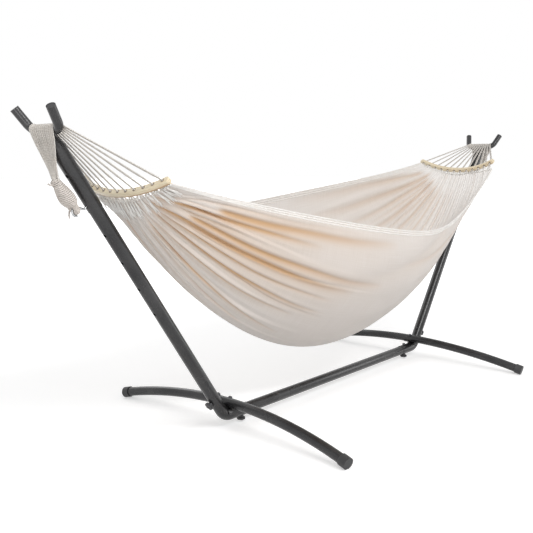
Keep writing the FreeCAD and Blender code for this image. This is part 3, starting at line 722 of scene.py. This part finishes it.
def hidden_creases(seed):
    """Such creases on the faces that turn away: the back's outside and the left end's inside."""
    rng = random.Random(seed)
    rows = []
    spans = (("left", 1, 0.05, 0.96, 9), ("right", 1, 0.05, 0.96, 8), ("left", -1, -0.9, 0.9, 11))
    for side, face, low, high, count in spans:
        for i in range(count):
            across = low + (high - low) * (i + 0.5 + rng.uniform(-0.3, 0.3)) / count
            start = rng.uniform(0.03, 0.16)
            last = across * rng.uniform(0.86, 1.0)
            stop = start + rng.uniform(0.3, 0.75)
            width, depth, warm = rng.uniform(0.006, 0.014), rng.uniform(0.5, 0.95), rng.uniform(0.3, 0.9)
            rows.append((side, face, across, last, start, stop, width, depth, warm))
    return rows


def bell(distance, width):
    return np.exp(-(distance / width) ** 2)


def folded(u, v, cloth):
    """Cloth surface with its pleats and creases, and the weight of the painted warm shade and glow in their
    depths outside and inside.
    """
    base = hung(u, v)
    step = 1e-4
    along = hung(u + step, v) - hung(u - step, v)
    across = hung(u, v + step) - hung(u, v - step)
    outward = np.cross(across, along)
    outward /= np.linalg.norm(outward, axis=-1, keepdims=True)
    left = Pleats(11, cloth.pleats, cloth.pleat_depth)
    right = Pleats(23, cloth.pleats, cloth.pleat_depth)
    from_left = np.maximum(0.0, (u + edge_of("left", v)) * HALF_LENGTH)
    from_right = np.maximum(0.0, (edge_of("right", v) - u) * HALF_LENGTH)
    height = left.height(v, from_left) + right.height(v, from_right)
    half_pitch = RIM / cloth.pleats
    # Painted warm shade and glow in the pleats' valleys, outside and inside.
    warm_out = left.warmth(v, from_left, 0.0) + 0.5 * right.warmth(v, from_right, 0.0)
    warm_in = right.warmth(v, from_right, half_pitch) + 0.6 * left.warmth(v, from_left, half_pitch)
    for side, face, first, last, start, stop, width, depth, warm in (*CREASES, *hidden_creases(47)):
        away = 1 - u * SIDES[side]
        share = np.clip((away - start) / (stop - start), 0, 1)
        wander = 0.0025 * np.sin(17 * away + 40 * first)
        middle = (first + (last - first) * share) * gathering(side, away) + wander
        swell = (1 - bell(np.maximum(0.0, away - start), 0.028)) * np.cos(0.5 * np.pi * share) ** 0.75
        hemward = (v - middle) * math.copysign(1, first)
        slope = np.where(hemward > 0, width, 1.9 * width)
        crest = bell(hemward - 2.0 * width, 1.5 * width)
        height += face * cloth.fold_depth * depth * swell * (0.55 * crest - bell(hemward, slope))
        glow = warm * swell * (0.85 * bell(hemward, 0.85 * slope) + 0.22 * bell(hemward, 3.6 * slope))
        if face > 0:
            warm_out += glow
        else:
            warm_in += glow
    height += 0.0010 * np.sin(31 * v + 4 * u) * np.sin(7 * u + 3 * v) * (1 - u * u)
    edge = np.minimum(1.0, (1 - np.abs(v)) / 0.03)
    height *= 0.35 + 0.65 * edge
    return base + outward * height[..., None], np.clip(warm_out, 0, 1), np.clip(warm_in, 0, 1)


def cloth_at(u, v, cloth):
    place, _, _ = folded(np.array([float(u)]), np.array([float(v)]), cloth)
    return Vector(place[0])


# ---------------------------------------------------------------- cord routes

def bar_axes(side):
    """Middle of the bar, the cords' way through it and the way its ends rise, for the end on +X."""
    middle = BAR_MIDDLE[side]
    slope = math.atan2(SADDLE.z - middle.z, SADDLE.x - middle.x)
    through = Vector((-math.cos(slope), 0, -math.sin(slope)))
    rise = Vector((-math.sin(slope), 0, math.cos(slope)))
    return middle, through, rise, slope


def bar_point(side, length, depth):
    middle, through, rise, _ = bar_axes(side)
    turn = length / BAR_BOW
    centre = middle + rise * BAR_BOW
    aside = Vector((0, BAR_BOW * math.sin(turn), 0))
    return centre + aside - rise * (BAR_BOW * math.cos(turn)) + through * depth


def strand_route(side, hole, twin, radius):
    """Control points of one strand, from the knot over the fork and through its hole in the bar."""
    place = (hole - (HOLES - 1) / 2) * HOLE_PITCH
    beside = twin - (TWINS - 1) / 2
    fan = (hole - (HOLES - 1) / 2) * GROUP_PITCH + beside * TWIN_PITCH
    over = max(0.0, abs(fan) - FORK_STRAIGHT)
    saddle = SADDLE + ARM_UP * (FORK_BEND - math.sqrt(FORK_BEND ** 2 - over ** 2))
    slope = bar_axes(side)[3]
    wrap_radius = FORK_RADIUS + 0.0004 + radius
    reach = KNOT - saddle
    start_turn = math.atan2(reach.z, reach.x) + math.acos(wrap_radius / reach.length)
    end_turn = math.pi / 2 + slope
    corners = 5
    half = (end_turn - start_turn) / (2 * corners)
    share = fan / (HOLES * GROUP_PITCH / 2)
    layer = (PILE_HALF * math.sqrt(max(0.0, 1 - share * share)) + 0.001) * beside * SIDES[side]
    wrap_start = saddle + Vector((math.cos(start_turn), 0, math.sin(start_turn))) * wrap_radius
    axis = (wrap_start - KNOT).normalized()
    layer_way = Vector((-axis.z, 0, axis.x)) * layer
    bundle = KNOT + Vector((0, KNOT_HALF_WIDTH * share, 0))
    low = bundle + axis * 0.018
    high = wrap_start - axis * 0.035 + Vector((0, fan * 0.85, 0))
    route = [bundle + layer_way, low + layer_way]
    route += [low.lerp(high, 0.5) + layer_way * 0.18, high + layer_way * 0.12]
    for i in range(corners):
        turn = start_turn + half * (2 * i + 1)
        spot = saddle + Vector((math.cos(turn), 0, math.sin(turn))) * (wrap_radius / math.cos(half))
        route.append(spot + Vector((0, fan, 0)))
    leave = saddle + Vector((math.cos(end_turn), 0, math.sin(end_turn))) * wrap_radius + Vector((0, fan, 0))
    top = bar_point(side, place + beside * radius * 1.1, -BAR_HALF_THICK - 0.003)
    way = (top - leave).normalized()
    route += [leave + way * 0.03, top - way * 0.030 + Vector((0, beside * 0.0022, 0)), top]
    route.append(bar_point(side, place + beside * radius * 1.1, BAR_HALF_THICK + 0.003))
    return route


def tie_place(side, hole, twin):
    """Place on the cloth where a strand is tied, along and across."""
    v = (TWINS * hole + twin - (TWINS * HOLES - 1) / 2) / ((TWINS * HOLES - 1) / 2) * TIED_WIDTH
    return edge_of(side, v) * SIDES[side], v


# ---------------------------------------------------------------- pieces

def along_cloth(share, v):
    """Place along the hammock for even shares from end to end, closer together towards the bars."""
    spread = np.sin(share * math.pi / 2 * 0.88) / math.sin(math.pi / 2 * 0.88)
    return spread * np.where(share < 0, edge_of("left", v), edge_of("right", v))


def build_cloth(cloth):
    """One woven sheet, hung and pleated, from a flat grid."""
    bm = bmesh.new()
    flat_map = bm.loops.layers.uv.new("flat")
    bmesh.ops.create_grid(bm, x_segments=GRID_ALONG, y_segments=GRID_ACROSS, size=1.0)
    bm.verts.ensure_lookup_table()
    flat = np.array([v.co for v in bm.verts])
    v = flat[:, 1]
    u = along_cloth(flat[:, 0], v)
    ties = (1 + np.cos(math.pi * v * (TWINS * HOLES - 1) / TIED_WIDTH)) / 2
    near_end = np.maximum(0.0, (np.abs(flat[:, 0]) - 0.96) / 0.04)
    u = u * (1 - 0.0035 * (1 - ties) * near_end)
    places, warm_out, warm_in = folded(u, v, cloth)
    # Per-vertex weights of the painted fold shade and glow, outside and inside.
    outside = bm.verts.layers.float.new("fold_shade_outside")
    inside = bm.verts.layers.float.new("fold_shade_inside")
    for vert, place, out, within in zip(bm.verts, places, warm_out, warm_in):
        vert.co = place
        vert[outside] = float(out)
        vert[inside] = float(within)
    for face in bm.faces:
        for loop in face.loops:
            i = loop.vert.index
            loop[flat_map].uv = (0.5 * cloth.flat_length * u[i], 0.5 * cloth.flat_width * v[i])
    bmesh.ops.recalc_face_normals(bm, faces=bm.faces)
    if sum(f.normal.z for f in bm.faces) > 0:
        bmesh.ops.reverse_faces(bm, faces=bm.faces)
    # Lit and shaded copies of one cotton: the inside gets much more painted light (0.85) than the outside
    # (0.1).
    materials = [cloth_material("cotton_outside", "fold_shade_outside", cloth, 0.1),
                 cloth_material("cotton_inside_lit", "fold_shade_inside", cloth, 0.85)]
    piece = add_piece(bm, "hammock_sheet", materials)
    wall = piece.modifiers.new("thickness", "SOLIDIFY")
    wall.thickness = cloth.thickness
    wall.offset = 0.0
    wall.material_offset = 1
    wall.use_quality_normals = True
    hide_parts("hammock_cloth")
    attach(piece, "hammock")
    return piece


def build_hem(name, edge, cloth, material):
    """Ribs woven side by side along one hem."""
    shares = np.linspace(-1, 1, 240)

    def rib(bm, number):
        v = np.full_like(shares, edge * (1.0 - RIB_STEP * number))
        line, _, _ = folded(along_cloth(shares, v), v, cloth)
        sweep(bm, [Vector(p) for p in line], cloth.hem_cord, 12)

    piece = add_piece(gathered(range(HEM_RIBS), rib), name, [material])
    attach(piece, "hammock")
    return piece


def build_strands(side, cloth, cord, material):
    """Every strand of one end: knot, fork, bar and cloth, each a twisted cord."""
    rng = random.Random(61)

    def strand(bm, number):
        neighbour_shade = bm.verts.layers.float.new("neighbour_shade")
        hole, twin = divmod(number, TWINS)
        # Painted shade: one strand of each three is darker than the others, standing in for shade between
        # neighbours.
        shade = (0.05, 0.62, 0.22)[twin] * rng.uniform(0.6, 1.3)
        route = strand_route(side, hole, twin, cord.radius)
        u, v = tie_place(side, hole, twin)
        tie = cloth_at(u, v, cloth)
        run = on_side((cloth_at(u - 0.02 * SIDES[side], v, cloth) - tie).normalized(), side)
        tie = on_side(tie, side)
        route += [route[-1].lerp(tie, 0.4), tie - run * 0.004, tie + run * 0.006]
        line = [on_side(p, side) for p in spline_points(route, 0.0038)]
        sweep(bm, line, cord.radius * 1.06, 9, lay=cord.lay, lobes=3)
        for vert in bm.verts:
            vert[neighbour_shade] = shade

    piece = add_piece(gathered(range(TWINS * HOLES), strand), "clew_strands_" + side, [material])
    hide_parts("clew_cords_" + side, "end_band_" + side)
    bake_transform(piece)
    return piece


def build_yarns(side, cloth, material):
    """Fan of thin yarns from each hole to the cloth's edge, between the strands."""

    def yarn(bm, number):
        hole, part = divmod(number, YARNS)
        place = (hole - (HOLES - 1) / 2) * HOLE_PITCH
        spread = (part - (YARNS - 1) / 2) / YARNS * 1.7
        v = max(-0.99, min(0.99, (hole - (HOLES - 1) / 2 + spread) / (HOLES / 2) * 0.99))
        u = edge_of(side, v) * SIDES[side]
        tie = cloth_at(u, v, cloth)
        run = (cloth_at(u - 0.02 * SIDES[side], v, cloth) - tie).normalized()
        aside = place + math.copysign(0.0016, spread)
        start = on_side(bar_point(side, aside, BAR_HALF_THICK - 0.002), side)
        line = spline_points([start, start.lerp(tie, 0.45) + run * 0.004, tie, tie + run * 0.012], 0.006)
        sweep(bm, line, YARN_RADIUS, 5)

    piece = add_piece(gathered(range(YARNS * HOLES), yarn), "fan_yarns_" + side, [material])
    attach(piece, "hammock")
    return piece


def outward_at(u, v):
    """Unit normal of the hung surface, pointing out of the hammock."""
    step = 1e-4
    along = hung(np.array([u + step]), np.array([v])) - hung(np.array([u - step]), np.array([v]))
    across = hung(np.array([u]), np.array([v + step])) - hung(np.array([u]), np.array([v - step]))
    return Vector(np.cross(across[0], along[0])).normalized()


def coil(centre, axis, wide, deep, pitch, length, steps):
    """Line of a cord wound round an axis; wide and deep are half sizes that follow the share along."""
    deep_way = axis.cross(Vector((0, 1, 0))).normalized()
    turns = length / pitch
    count = int(turns * steps)
    line = []
    for i in range(count + 1):
        share = i / count
        turn = 2 * math.pi * turns * share
        line.append(centre + axis * (length * share) + Vector((0, wide(share) * math.cos(turn), 0))
                    + deep_way * (deep(share) * math.sin(turn)))
    return line


def hairs(bm, root, way, out, rng, count, length, thick, spread=0.22):
    """Loose fibres that fan out from a cord's end."""
    side = way.cross(out).normalized()
    for _ in range(count):
        lean = rng.uniform(-spread, spread)
        lift = rng.uniform(0.0, 0.09)
        long = length * rng.uniform(0.55, 1.1)
        curl = rng.uniform(-0.12, 0.12)
        start = root + side * (0.6 * spread * length * rng.uniform(-0.25, 0.25))
        line = [start + way * (long * t) + side * (long * (lean * t + curl * t * t))
                + out * (long * lift * t * (1.6 - t)) for t in (0.0, 0.3, 0.6, 0.85, 1.0)]
        sweep(bm, line, lambda share: thick * (1.0 - 0.75 * share ** 2), 5)


def build_tufts(side, cloth, cord, material):
    """Knots where the strands are tied to the cloth, each with a frayed end lying on its outside."""
    rng = random.Random(5 if side == "left" else 9)

    def tied_end(bm, number):
        hole, twin = divmod(number, TWINS)
        u, v = tie_place(side, hole, twin)
        tie = cloth_at(u, v, cloth)
        run = (cloth_at(u - 0.02 * SIDES[side], v, cloth) - tie).normalized()
        out = outward_at(u, v)
        root = tie - run * 0.005
        aside = run.cross(out)
        knot = [root + run * (0.009 * i / 26)
                + (out * math.cos(i * 0.72) + aside * math.sin(i * 0.72)) * 0.0030 for i in range(27)]
        sweep(bm, knot, 0.0013, 6)
        if twin == 1 or rng.random() < 0.45:
            further = cloth_at(u - 0.035 * SIDES[side], v, cloth)
            down = (further - tie).normalized()
            length = cord.tuft * rng.uniform(0.75, 1.2)
            hairs(bm, tie + out * 0.0055, down, out, rng, 13, length, 0.0015, 0.085)

    piece = add_piece(gathered(range(TWINS * HOLES), tied_end), "cord_tufts_" + side, [material])
    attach(piece, "hammock")
    return piece


def build_loop(side, cord, material):
    """Rope eye bound with cord, its knot and two short tails."""
    rng = random.Random(31 if side == "left" else 37)
    axis = (KNOT - BIGHT).normalized()
    deep_way = axis.cross(Vector((0, 1, 0))).normalized()
    low = BIGHT + axis * EYE_RADIUS
    across = Vector((0, EYE_RADIUS, 0))
    length = (KNOT - low).length
    mirror = SIDES[side]

    def put(bm, line, radius, sides, **more):
        sweep(bm, [Vector((p.x * mirror, p.y, p.z)) for p in line], radius, sides, **more)

    legs = [low + across + axis * LEG_LENGTH * (1 - i / 8) for i in range(8)]
    legs += [low + across * math.cos(t) - axis * (EYE_RADIUS * math.sin(t))
             for t in np.linspace(0, math.pi, 19)]
    legs += [low - across + axis * LEG_LENGTH * (i + 1) / 8 for i in range(8)]
    legs = even_line(np.array(legs), LEG_STEP)

    def rope(bm, _):
        put(bm, legs[::3], ROPE_RADIUS, 12)

    def eye_binding(bm, _):
        winding = ROPE_RADIUS + 0.0003
        parts = 4
        wound = []
        for i, place in enumerate(ring_frames(legs)):
            for part in range(parts):
                turn = 2 * math.pi * (i * parts + part) * LEG_STEP / parts / EYE_PITCH
                wound.append(place @ Vector((winding * math.cos(turn), winding * math.sin(turn), 0)))
        put(bm, wound, EYE_CORD, 6)

    def wide(share):
        low_part = 0.0075 * (1 - min(1.0, share / 0.26)) ** 1.7
        return 0.0300 - low_part - 0.0165 * max(0.0, (share - 0.34) / 0.66) ** 1.35

    def deep(share):
        low_part = 0.0075 * (1 - min(1.0, share / 0.3)) ** 1.6
        return 0.0215 - low_part - 0.0085 * max(0.0, (share - 0.4) / 0.6) ** 1.4

    start = low + axis * BODY_START
    bound = length - BODY_START - BODY_END_GAP

    def core(bm, _):
        rings = 14
        made = bmesh.ops.create_circle(bm, cap_ends=True, segments=24, radius=1.0)["verts"]
        basis = Matrix((deep_way, Vector((0, 1, 0)), axis)).transposed().to_4x4()
        edges = list(made[0].link_faces[0].edges)
        verts, last = list(made), Matrix.Identity(4)
        for i in range(rings + 1):
            share = i / rings
            place = Matrix.Translation(start + axis * bound * share) @ basis @ Matrix.Diagonal(
                (deep(share) - 0.0022, wide(share) - 0.0022, 1.0, 1.0))
            if i:
                out = bmesh.ops.extrude_edge_only(bm, edges=edges)["geom"]
                verts = [g for g in out if isinstance(g, bmesh.types.BMVert)]
                edges = [g for g in out if isinstance(g, bmesh.types.BMEdge)]
            bmesh.ops.transform(bm, matrix=place @ last.inverted(), verts=verts)
            last = place
        bmesh.ops.edgeloop_fill(bm, edges=edges)
        bmesh.ops.scale(bm, verts=bm.verts, vec=(mirror, 1, 1))

    def body_binding(bm, _):
        put(bm, coil(start, axis, wide, deep, BODY_PITCH, bound, steps=30), BODY_CORD, 7)

    def knot_turns(bm, _):
        slanted = (axis + Vector((0, 0.18, 0))).normalized()
        wrap = coil(KNOT - axis * 0.010, slanted, lambda share: 0.0148 - 0.003 * share,
                    lambda share: 0.0142 - 0.002 * share, KNOT_PITCH, KNOT_LENGTH, steps=24)
        put(bm, wrap, KNOT_CORD, 9, lay=cord.lay, lobes=3)

    def tail(bm, root, tip, bend):
        line = [root.lerp(tip, t) + bend * math.sin(math.pi * t) for t in np.linspace(0, 1, 12)]
        put(bm, line, TAIL_RADIUS, 9, lay=TAIL_LAY, lobes=3)

    def knot_tail(bm, _):
        tip = KNOT + ARM_OUT * 0.026 + ARM_UP * 0.014
        tail(bm, KNOT + ARM_OUT * 0.009, tip, Vector((0, 0, -0.004)))

    def low_tail(bm, _):
        tip = low + across + ARM_OUT * 0.022 - ARM_UP * 0.020
        tail(bm, low + across + ARM_OUT * 0.004, tip, ARM_OUT * 0.003)

    def frays(bm, _):
        for tip, way in ((KNOT + ARM_OUT * 0.0255 + ARM_UP * 0.0138, ARM_OUT + ARM_UP * 0.5),
                         (low + across + ARM_OUT * 0.0195 - ARM_UP * 0.0175, ARM_OUT - ARM_UP)):
            way = way.normalized()
            flipped = Vector((way.x * mirror, way.y, way.z))
            for turn in range(4):
                out = Quaternion(flipped, turn * math.pi / 2) @ Vector((0, 1, 0))
                hairs(bm, Vector((tip.x * mirror, tip.y, tip.z)), flipped, out, rng, 3, 0.009, 0.0009)

    parts = (rope, eye_binding, core, body_binding, knot_turns, knot_tail, low_tail, frays)
    piece = add_piece(gathered(parts, lambda bm, make: make(bm, None)), "bound_eye_" + side, [material])
    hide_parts("end_loop_" + side)
    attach(piece, "stand")
    return piece


# ---------------------------------------------------------------- operators

def dress(nodes, material):
    """Give CAD nodes one finish in every slot."""
    for name in nodes:
        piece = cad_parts[name]
        piece.data.materials.clear()
        piece.data.materials.append(material)


def both(*stems):
    return [stem + "_" + side for stem in stems for side in SIDES]


class HAMMOCK_OT_steel(bpy.types.Operator):
    """Powder coat on the tubes, forks, feet and brackets of the stand"""
    bl_idname = "hammock.steel"
    bl_label = "Coat the Steel"

    def execute(self, context):
        stand = context.scene.hammock_stand
        coat = coated_material("powder_coat_steel", tuple(stand.coat), fleck=(0.15, 0.15, 0.16), share=0.30,
                               rough=0.23, scale=620.0, metallic=0.2)
        dress(["base_tube"] + both("lower_arm", "upper_arm", "fork", "foot", "foot_bracket"), coat)
        return {"FINISHED"}


class HAMMOCK_OT_plastic(bpy.types.Operator):
    """Moulded plastic on the caps, plugs and knobs"""
    bl_idname = "hammock.plastic"
    bl_label = "Finish the Plastic"

    def execute(self, context):
        stand = context.scene.hammock_stand
        plastic = coated_material("moulded_plastic", tuple(stand.plastic), fleck=(0.06, 0.06, 0.06),
                                  share=0.25, rough=0.5, scale=1500.0, depth=0.00008)
        dress(["horn_plugs"] + both("foot_caps", "knob_arm", "knob_base"), plastic)
        return {"FINISHED"}


class HAMMOCK_OT_plating(bpy.types.Operator):
    """Bright zinc plate on the hooks, dark plate on the bolts, washers and insert nuts"""
    bl_idname = "hammock.plating"
    bl_label = "Plate the Hardware"

    def execute(self, context):
        stand = context.scene.hammock_stand
        zinc = coated_material("zinc_plate", tuple(stand.zinc), fleck=(0.9, 0.9, 0.92), share=0.2,
                               rough=0.24, scale=900.0, metallic=1.0, depth=0.00005)
        dress(both("s_hook"), zinc)
        dark = coated_material("dark_plate", (0.085, 0.085, 0.09), fleck=(0.2, 0.2, 0.2), share=0.2,
                               rough=0.34, scale=900.0, metallic=1.0, depth=0.00005)
        dress(["knob_bolts", "foot_bolts", "arc_washers", "insert_nuts"], dark)
        return {"FINISHED"}


class HAMMOCK_OT_bars(bpy.types.Operator):
    """Bent pale wood on the two spreader bars"""
    bl_idname = "hammock.bars"
    bl_label = "Finish the Bars"

    def execute(self, context):
        stand = context.scene.hammock_stand
        for side in SIDES:
            wood = wood_material(side, tuple(stand.wood), tuple(stand.wood_grain))
            dress(["spreader_bar_" + side], wood)
        return {"FINISHED"}


class HAMMOCK_OT_strands(bpy.types.Operator):
    """Twisted strands from each knot over its fork and through the bar to the cloth"""
    bl_idname = "hammock.strands"
    bl_label = "Lay the Strands"

    def execute(self, context):
        cloth, cord = context.scene.hammock_cloth, context.scene.hammock_cord
        cotton = fibre_material("twisted_cotton", tuple(cord.colour), (0.64, 0.57, 0.50), 800.0)
        for side in SIDES:
            build_strands(side, cloth, cord, cotton)
            build_yarns(side, cloth, cotton)
        return {"FINISHED"}


class HAMMOCK_OT_eyes(bpy.types.Operator):
    """Rope eyes bound with cord that hang on the hooks"""
    bl_idname = "hammock.eyes"
    bl_label = "Bind the Eyes"

    def execute(self, context):
        cord = context.scene.hammock_cord
        cotton = fibre_material("binding_cotton", (0.71, 0.665, 0.625), (0.48, 0.41, 0.35), 700.0)
        for side in SIDES:
            build_loop(side, cord, cotton)
        return {"FINISHED"}


class HAMMOCK_OT_cloth(bpy.types.Operator):
    """Hung cotton sheet with its hems and the tied, frayed strand ends"""
    bl_idname = "hammock.cloth"
    bl_label = "Hang the Cloth"

    def execute(self, context):
        cloth, cord = context.scene.hammock_cloth, context.scene.hammock_cord
        sheet = build_cloth(cloth)
        hem_cotton = fibre_material("hem_cotton", tuple(cloth.hem_colour), (0.70, 0.64, 0.57), 600.0)
        tuft_cotton = fibre_material("frayed_cotton", tuple(cord.tuft_colour), (0.72, 0.67, 0.60), 900.0)
        trim = [build_hem("hem_front", -1.0, cloth, hem_cotton)]
        trim += [build_hem("hem_back", 1.0, cloth, hem_cotton)]
        trim += [build_tufts(side, cloth, cord, tuft_cotton) for side in SIDES]
        return {"FINISHED"}


class HAMMOCK_OT_stage(bpy.types.Operator):
    """Pale floor, soft studio light and the camera"""
    bl_idname = "hammock.stage"
    bl_label = "Set the Stage"

    def execute(self, context):
        stage = context.scene.hammock_stage
        build_floor(stage)
        build_sky(stage)
        build_lights(stage)
        build_camera(stage)
        context.scene.view_settings.view_transform = "Standard"
        return {"FINISHED"}


# ---------------------------------------------------------------- stage

def build_floor(stage):
    bm = bmesh.new()
    bmesh.ops.create_grid(bm, x_segments=1, y_segments=1, size=40.0)
    material, tree, shader = new_material("studio_floor")
    shader.inputs["Base Color"].default_value = (*stage.floor, 1.0)
    shader.inputs["Roughness"].default_value = 0.9
    shader.inputs["Specular IOR Level"].default_value = 0.0
    seen = tree.nodes.new("ShaderNodeLightPath")
    shown = math_node(tree, "ADD", seen.outputs["Is Camera Ray"], seen.outputs["Is Glossy Ray"], True)
    away = length_of(tree, object_coords(tree))
    glow = math_node(tree, "MULTIPLY", shown, remap(tree, away, 1.6, 4.0, 0.40, 1.0))
    lit = mix_colour(tree, glow, (0.0, 0.0, 0.0), (1.0, 1.0, 1.0))
    tree.links.new(lit, shader.inputs["Emission Color"])
    shader.inputs["Emission Strength"].default_value = 1.0
    add_piece(bm, "studio_floor", [material], smooth=False)


def build_sky(stage):
    world = bpy.data.worlds.new("studio_sky")
    world.use_nodes = True
    tree = world.node_tree
    tree.nodes.clear()
    seen = tree.nodes.new("ShaderNodeLightPath")
    seen_rays = math_node(tree, "ADD", seen.outputs["Is Camera Ray"], seen.outputs["Is Transmission Ray"])
    shown = math_node(tree, "ADD", seen_rays, seen.outputs["Is Glossy Ray"], True)
    strength = math_node(tree, "ADD", math_node(tree, "MULTIPLY", shown, 1.0 - stage.sky), stage.sky)
    light = node(tree, "ShaderNodeBackground", {"Color": (1.0, 1.0, 1.0), "Strength": strength})
    output = tree.nodes.new("ShaderNodeOutputWorld")
    tree.links.new(light.outputs[0], output.inputs["Surface"])
    bpy.context.scene.world = world


def add_light(name, place, target, size, power):
    data = bpy.data.lights.new(name, "AREA")
    data.shape = "RECTANGLE"
    data.size, data.size_y = size
    data.energy = power
    lamp = bpy.data.objects.new(name, data)
    lamp.location = place
    lamp.rotation_mode = "QUATERNION"
    lamp.rotation_quaternion = (Vector(target) - Vector(place)).to_track_quat("-Z", "Y")
    bpy.context.scene.collection.objects.link(lamp)


def build_lights(stage):
    add_light("key_light", (-0.9, -2.8, 3.1), (0, 0, 0.6), (2.8, 0.6), stage.key_power)
    add_light("fill_light", (2.7, -1.7, 0.8), (-0.8, 0, 0.6), (0.6, 1.4), stage.fill_power)
    add_light("back_light", (0.6, 3.4, 2.4), (0, 0, 0.7), (2.4, 1.4), stage.back_power)
    add_light("side_light", (-3.2, -1.9, 1.3), (-0.6, 0, 0.8), (0.9, 2.0), stage.side_power)


def build_camera(stage):
    data = bpy.data.cameras.new("studio_camera")
    data.lens = stage.lens
    data.sensor_width = 36.0
    camera = bpy.data.objects.new("studio_camera", data)
    camera.location = (-2.6802, -1.9160, 1.0206)
    camera.rotation_mode = "QUATERNION"
    turn, fall = math.radians(49.01), math.radians(8.05)
    ahead = Vector((math.sin(turn) * math.cos(fall), math.cos(turn) * math.cos(fall), -math.sin(fall)))
    camera.rotation_quaternion = ahead.to_track_quat("-Z", "Y")
    bpy.context.scene.collection.objects.link(camera)
    bpy.context.scene.camera = camera


# ---------------------------------------------------------------- panel

class HAMMOCK_PT_sidebar(bpy.types.Panel):
    """Lists the hammock's pieces and settings"""
    bl_idname = "HAMMOCK_PT_sidebar"
    bl_label = "Hammock on Stand"
    bl_space_type = "VIEW_3D"
    bl_region_type = "UI"
    bl_category = "Hammock"

    def draw(self, context):
        column = self.layout.column()
        for operator in STEPS:
            column.operator(operator.bl_idname)
        for name, group in SETTINGS.items():
            box = self.layout.box()
            for setting in group.__annotations__:
                box.prop(getattr(context.scene, name), setting)


STEPS = (
    HAMMOCK_OT_steel,
    HAMMOCK_OT_plastic,
    HAMMOCK_OT_plating,
    HAMMOCK_OT_bars,
    HAMMOCK_OT_strands,
    HAMMOCK_OT_eyes,
    HAMMOCK_OT_cloth,
    HAMMOCK_OT_stage,
)
CLASSES = (*SETTINGS.values(), *STEPS, HAMMOCK_PT_sidebar)


def register():
    for each in CLASSES:
        bpy.utils.register_class(each)
    for name, group in SETTINGS.items():
        setattr(bpy.types.Scene, name, PointerProperty(type=group))


def unregister():
    for name in SETTINGS:
        delattr(bpy.types.Scene, name)
    for each in reversed(CLASSES):
        bpy.utils.unregister_class(each)


def main():
    register()
    bpy.ops.hammock.steel()
    bpy.ops.hammock.plastic()
    bpy.ops.hammock.plating()
    bpy.ops.hammock.bars()
    bpy.ops.hammock.strands()
    bpy.ops.hammock.eyes()
    bpy.ops.hammock.cloth()
    bpy.ops.hammock.stage()


if __name__ == "__main__":
    main()
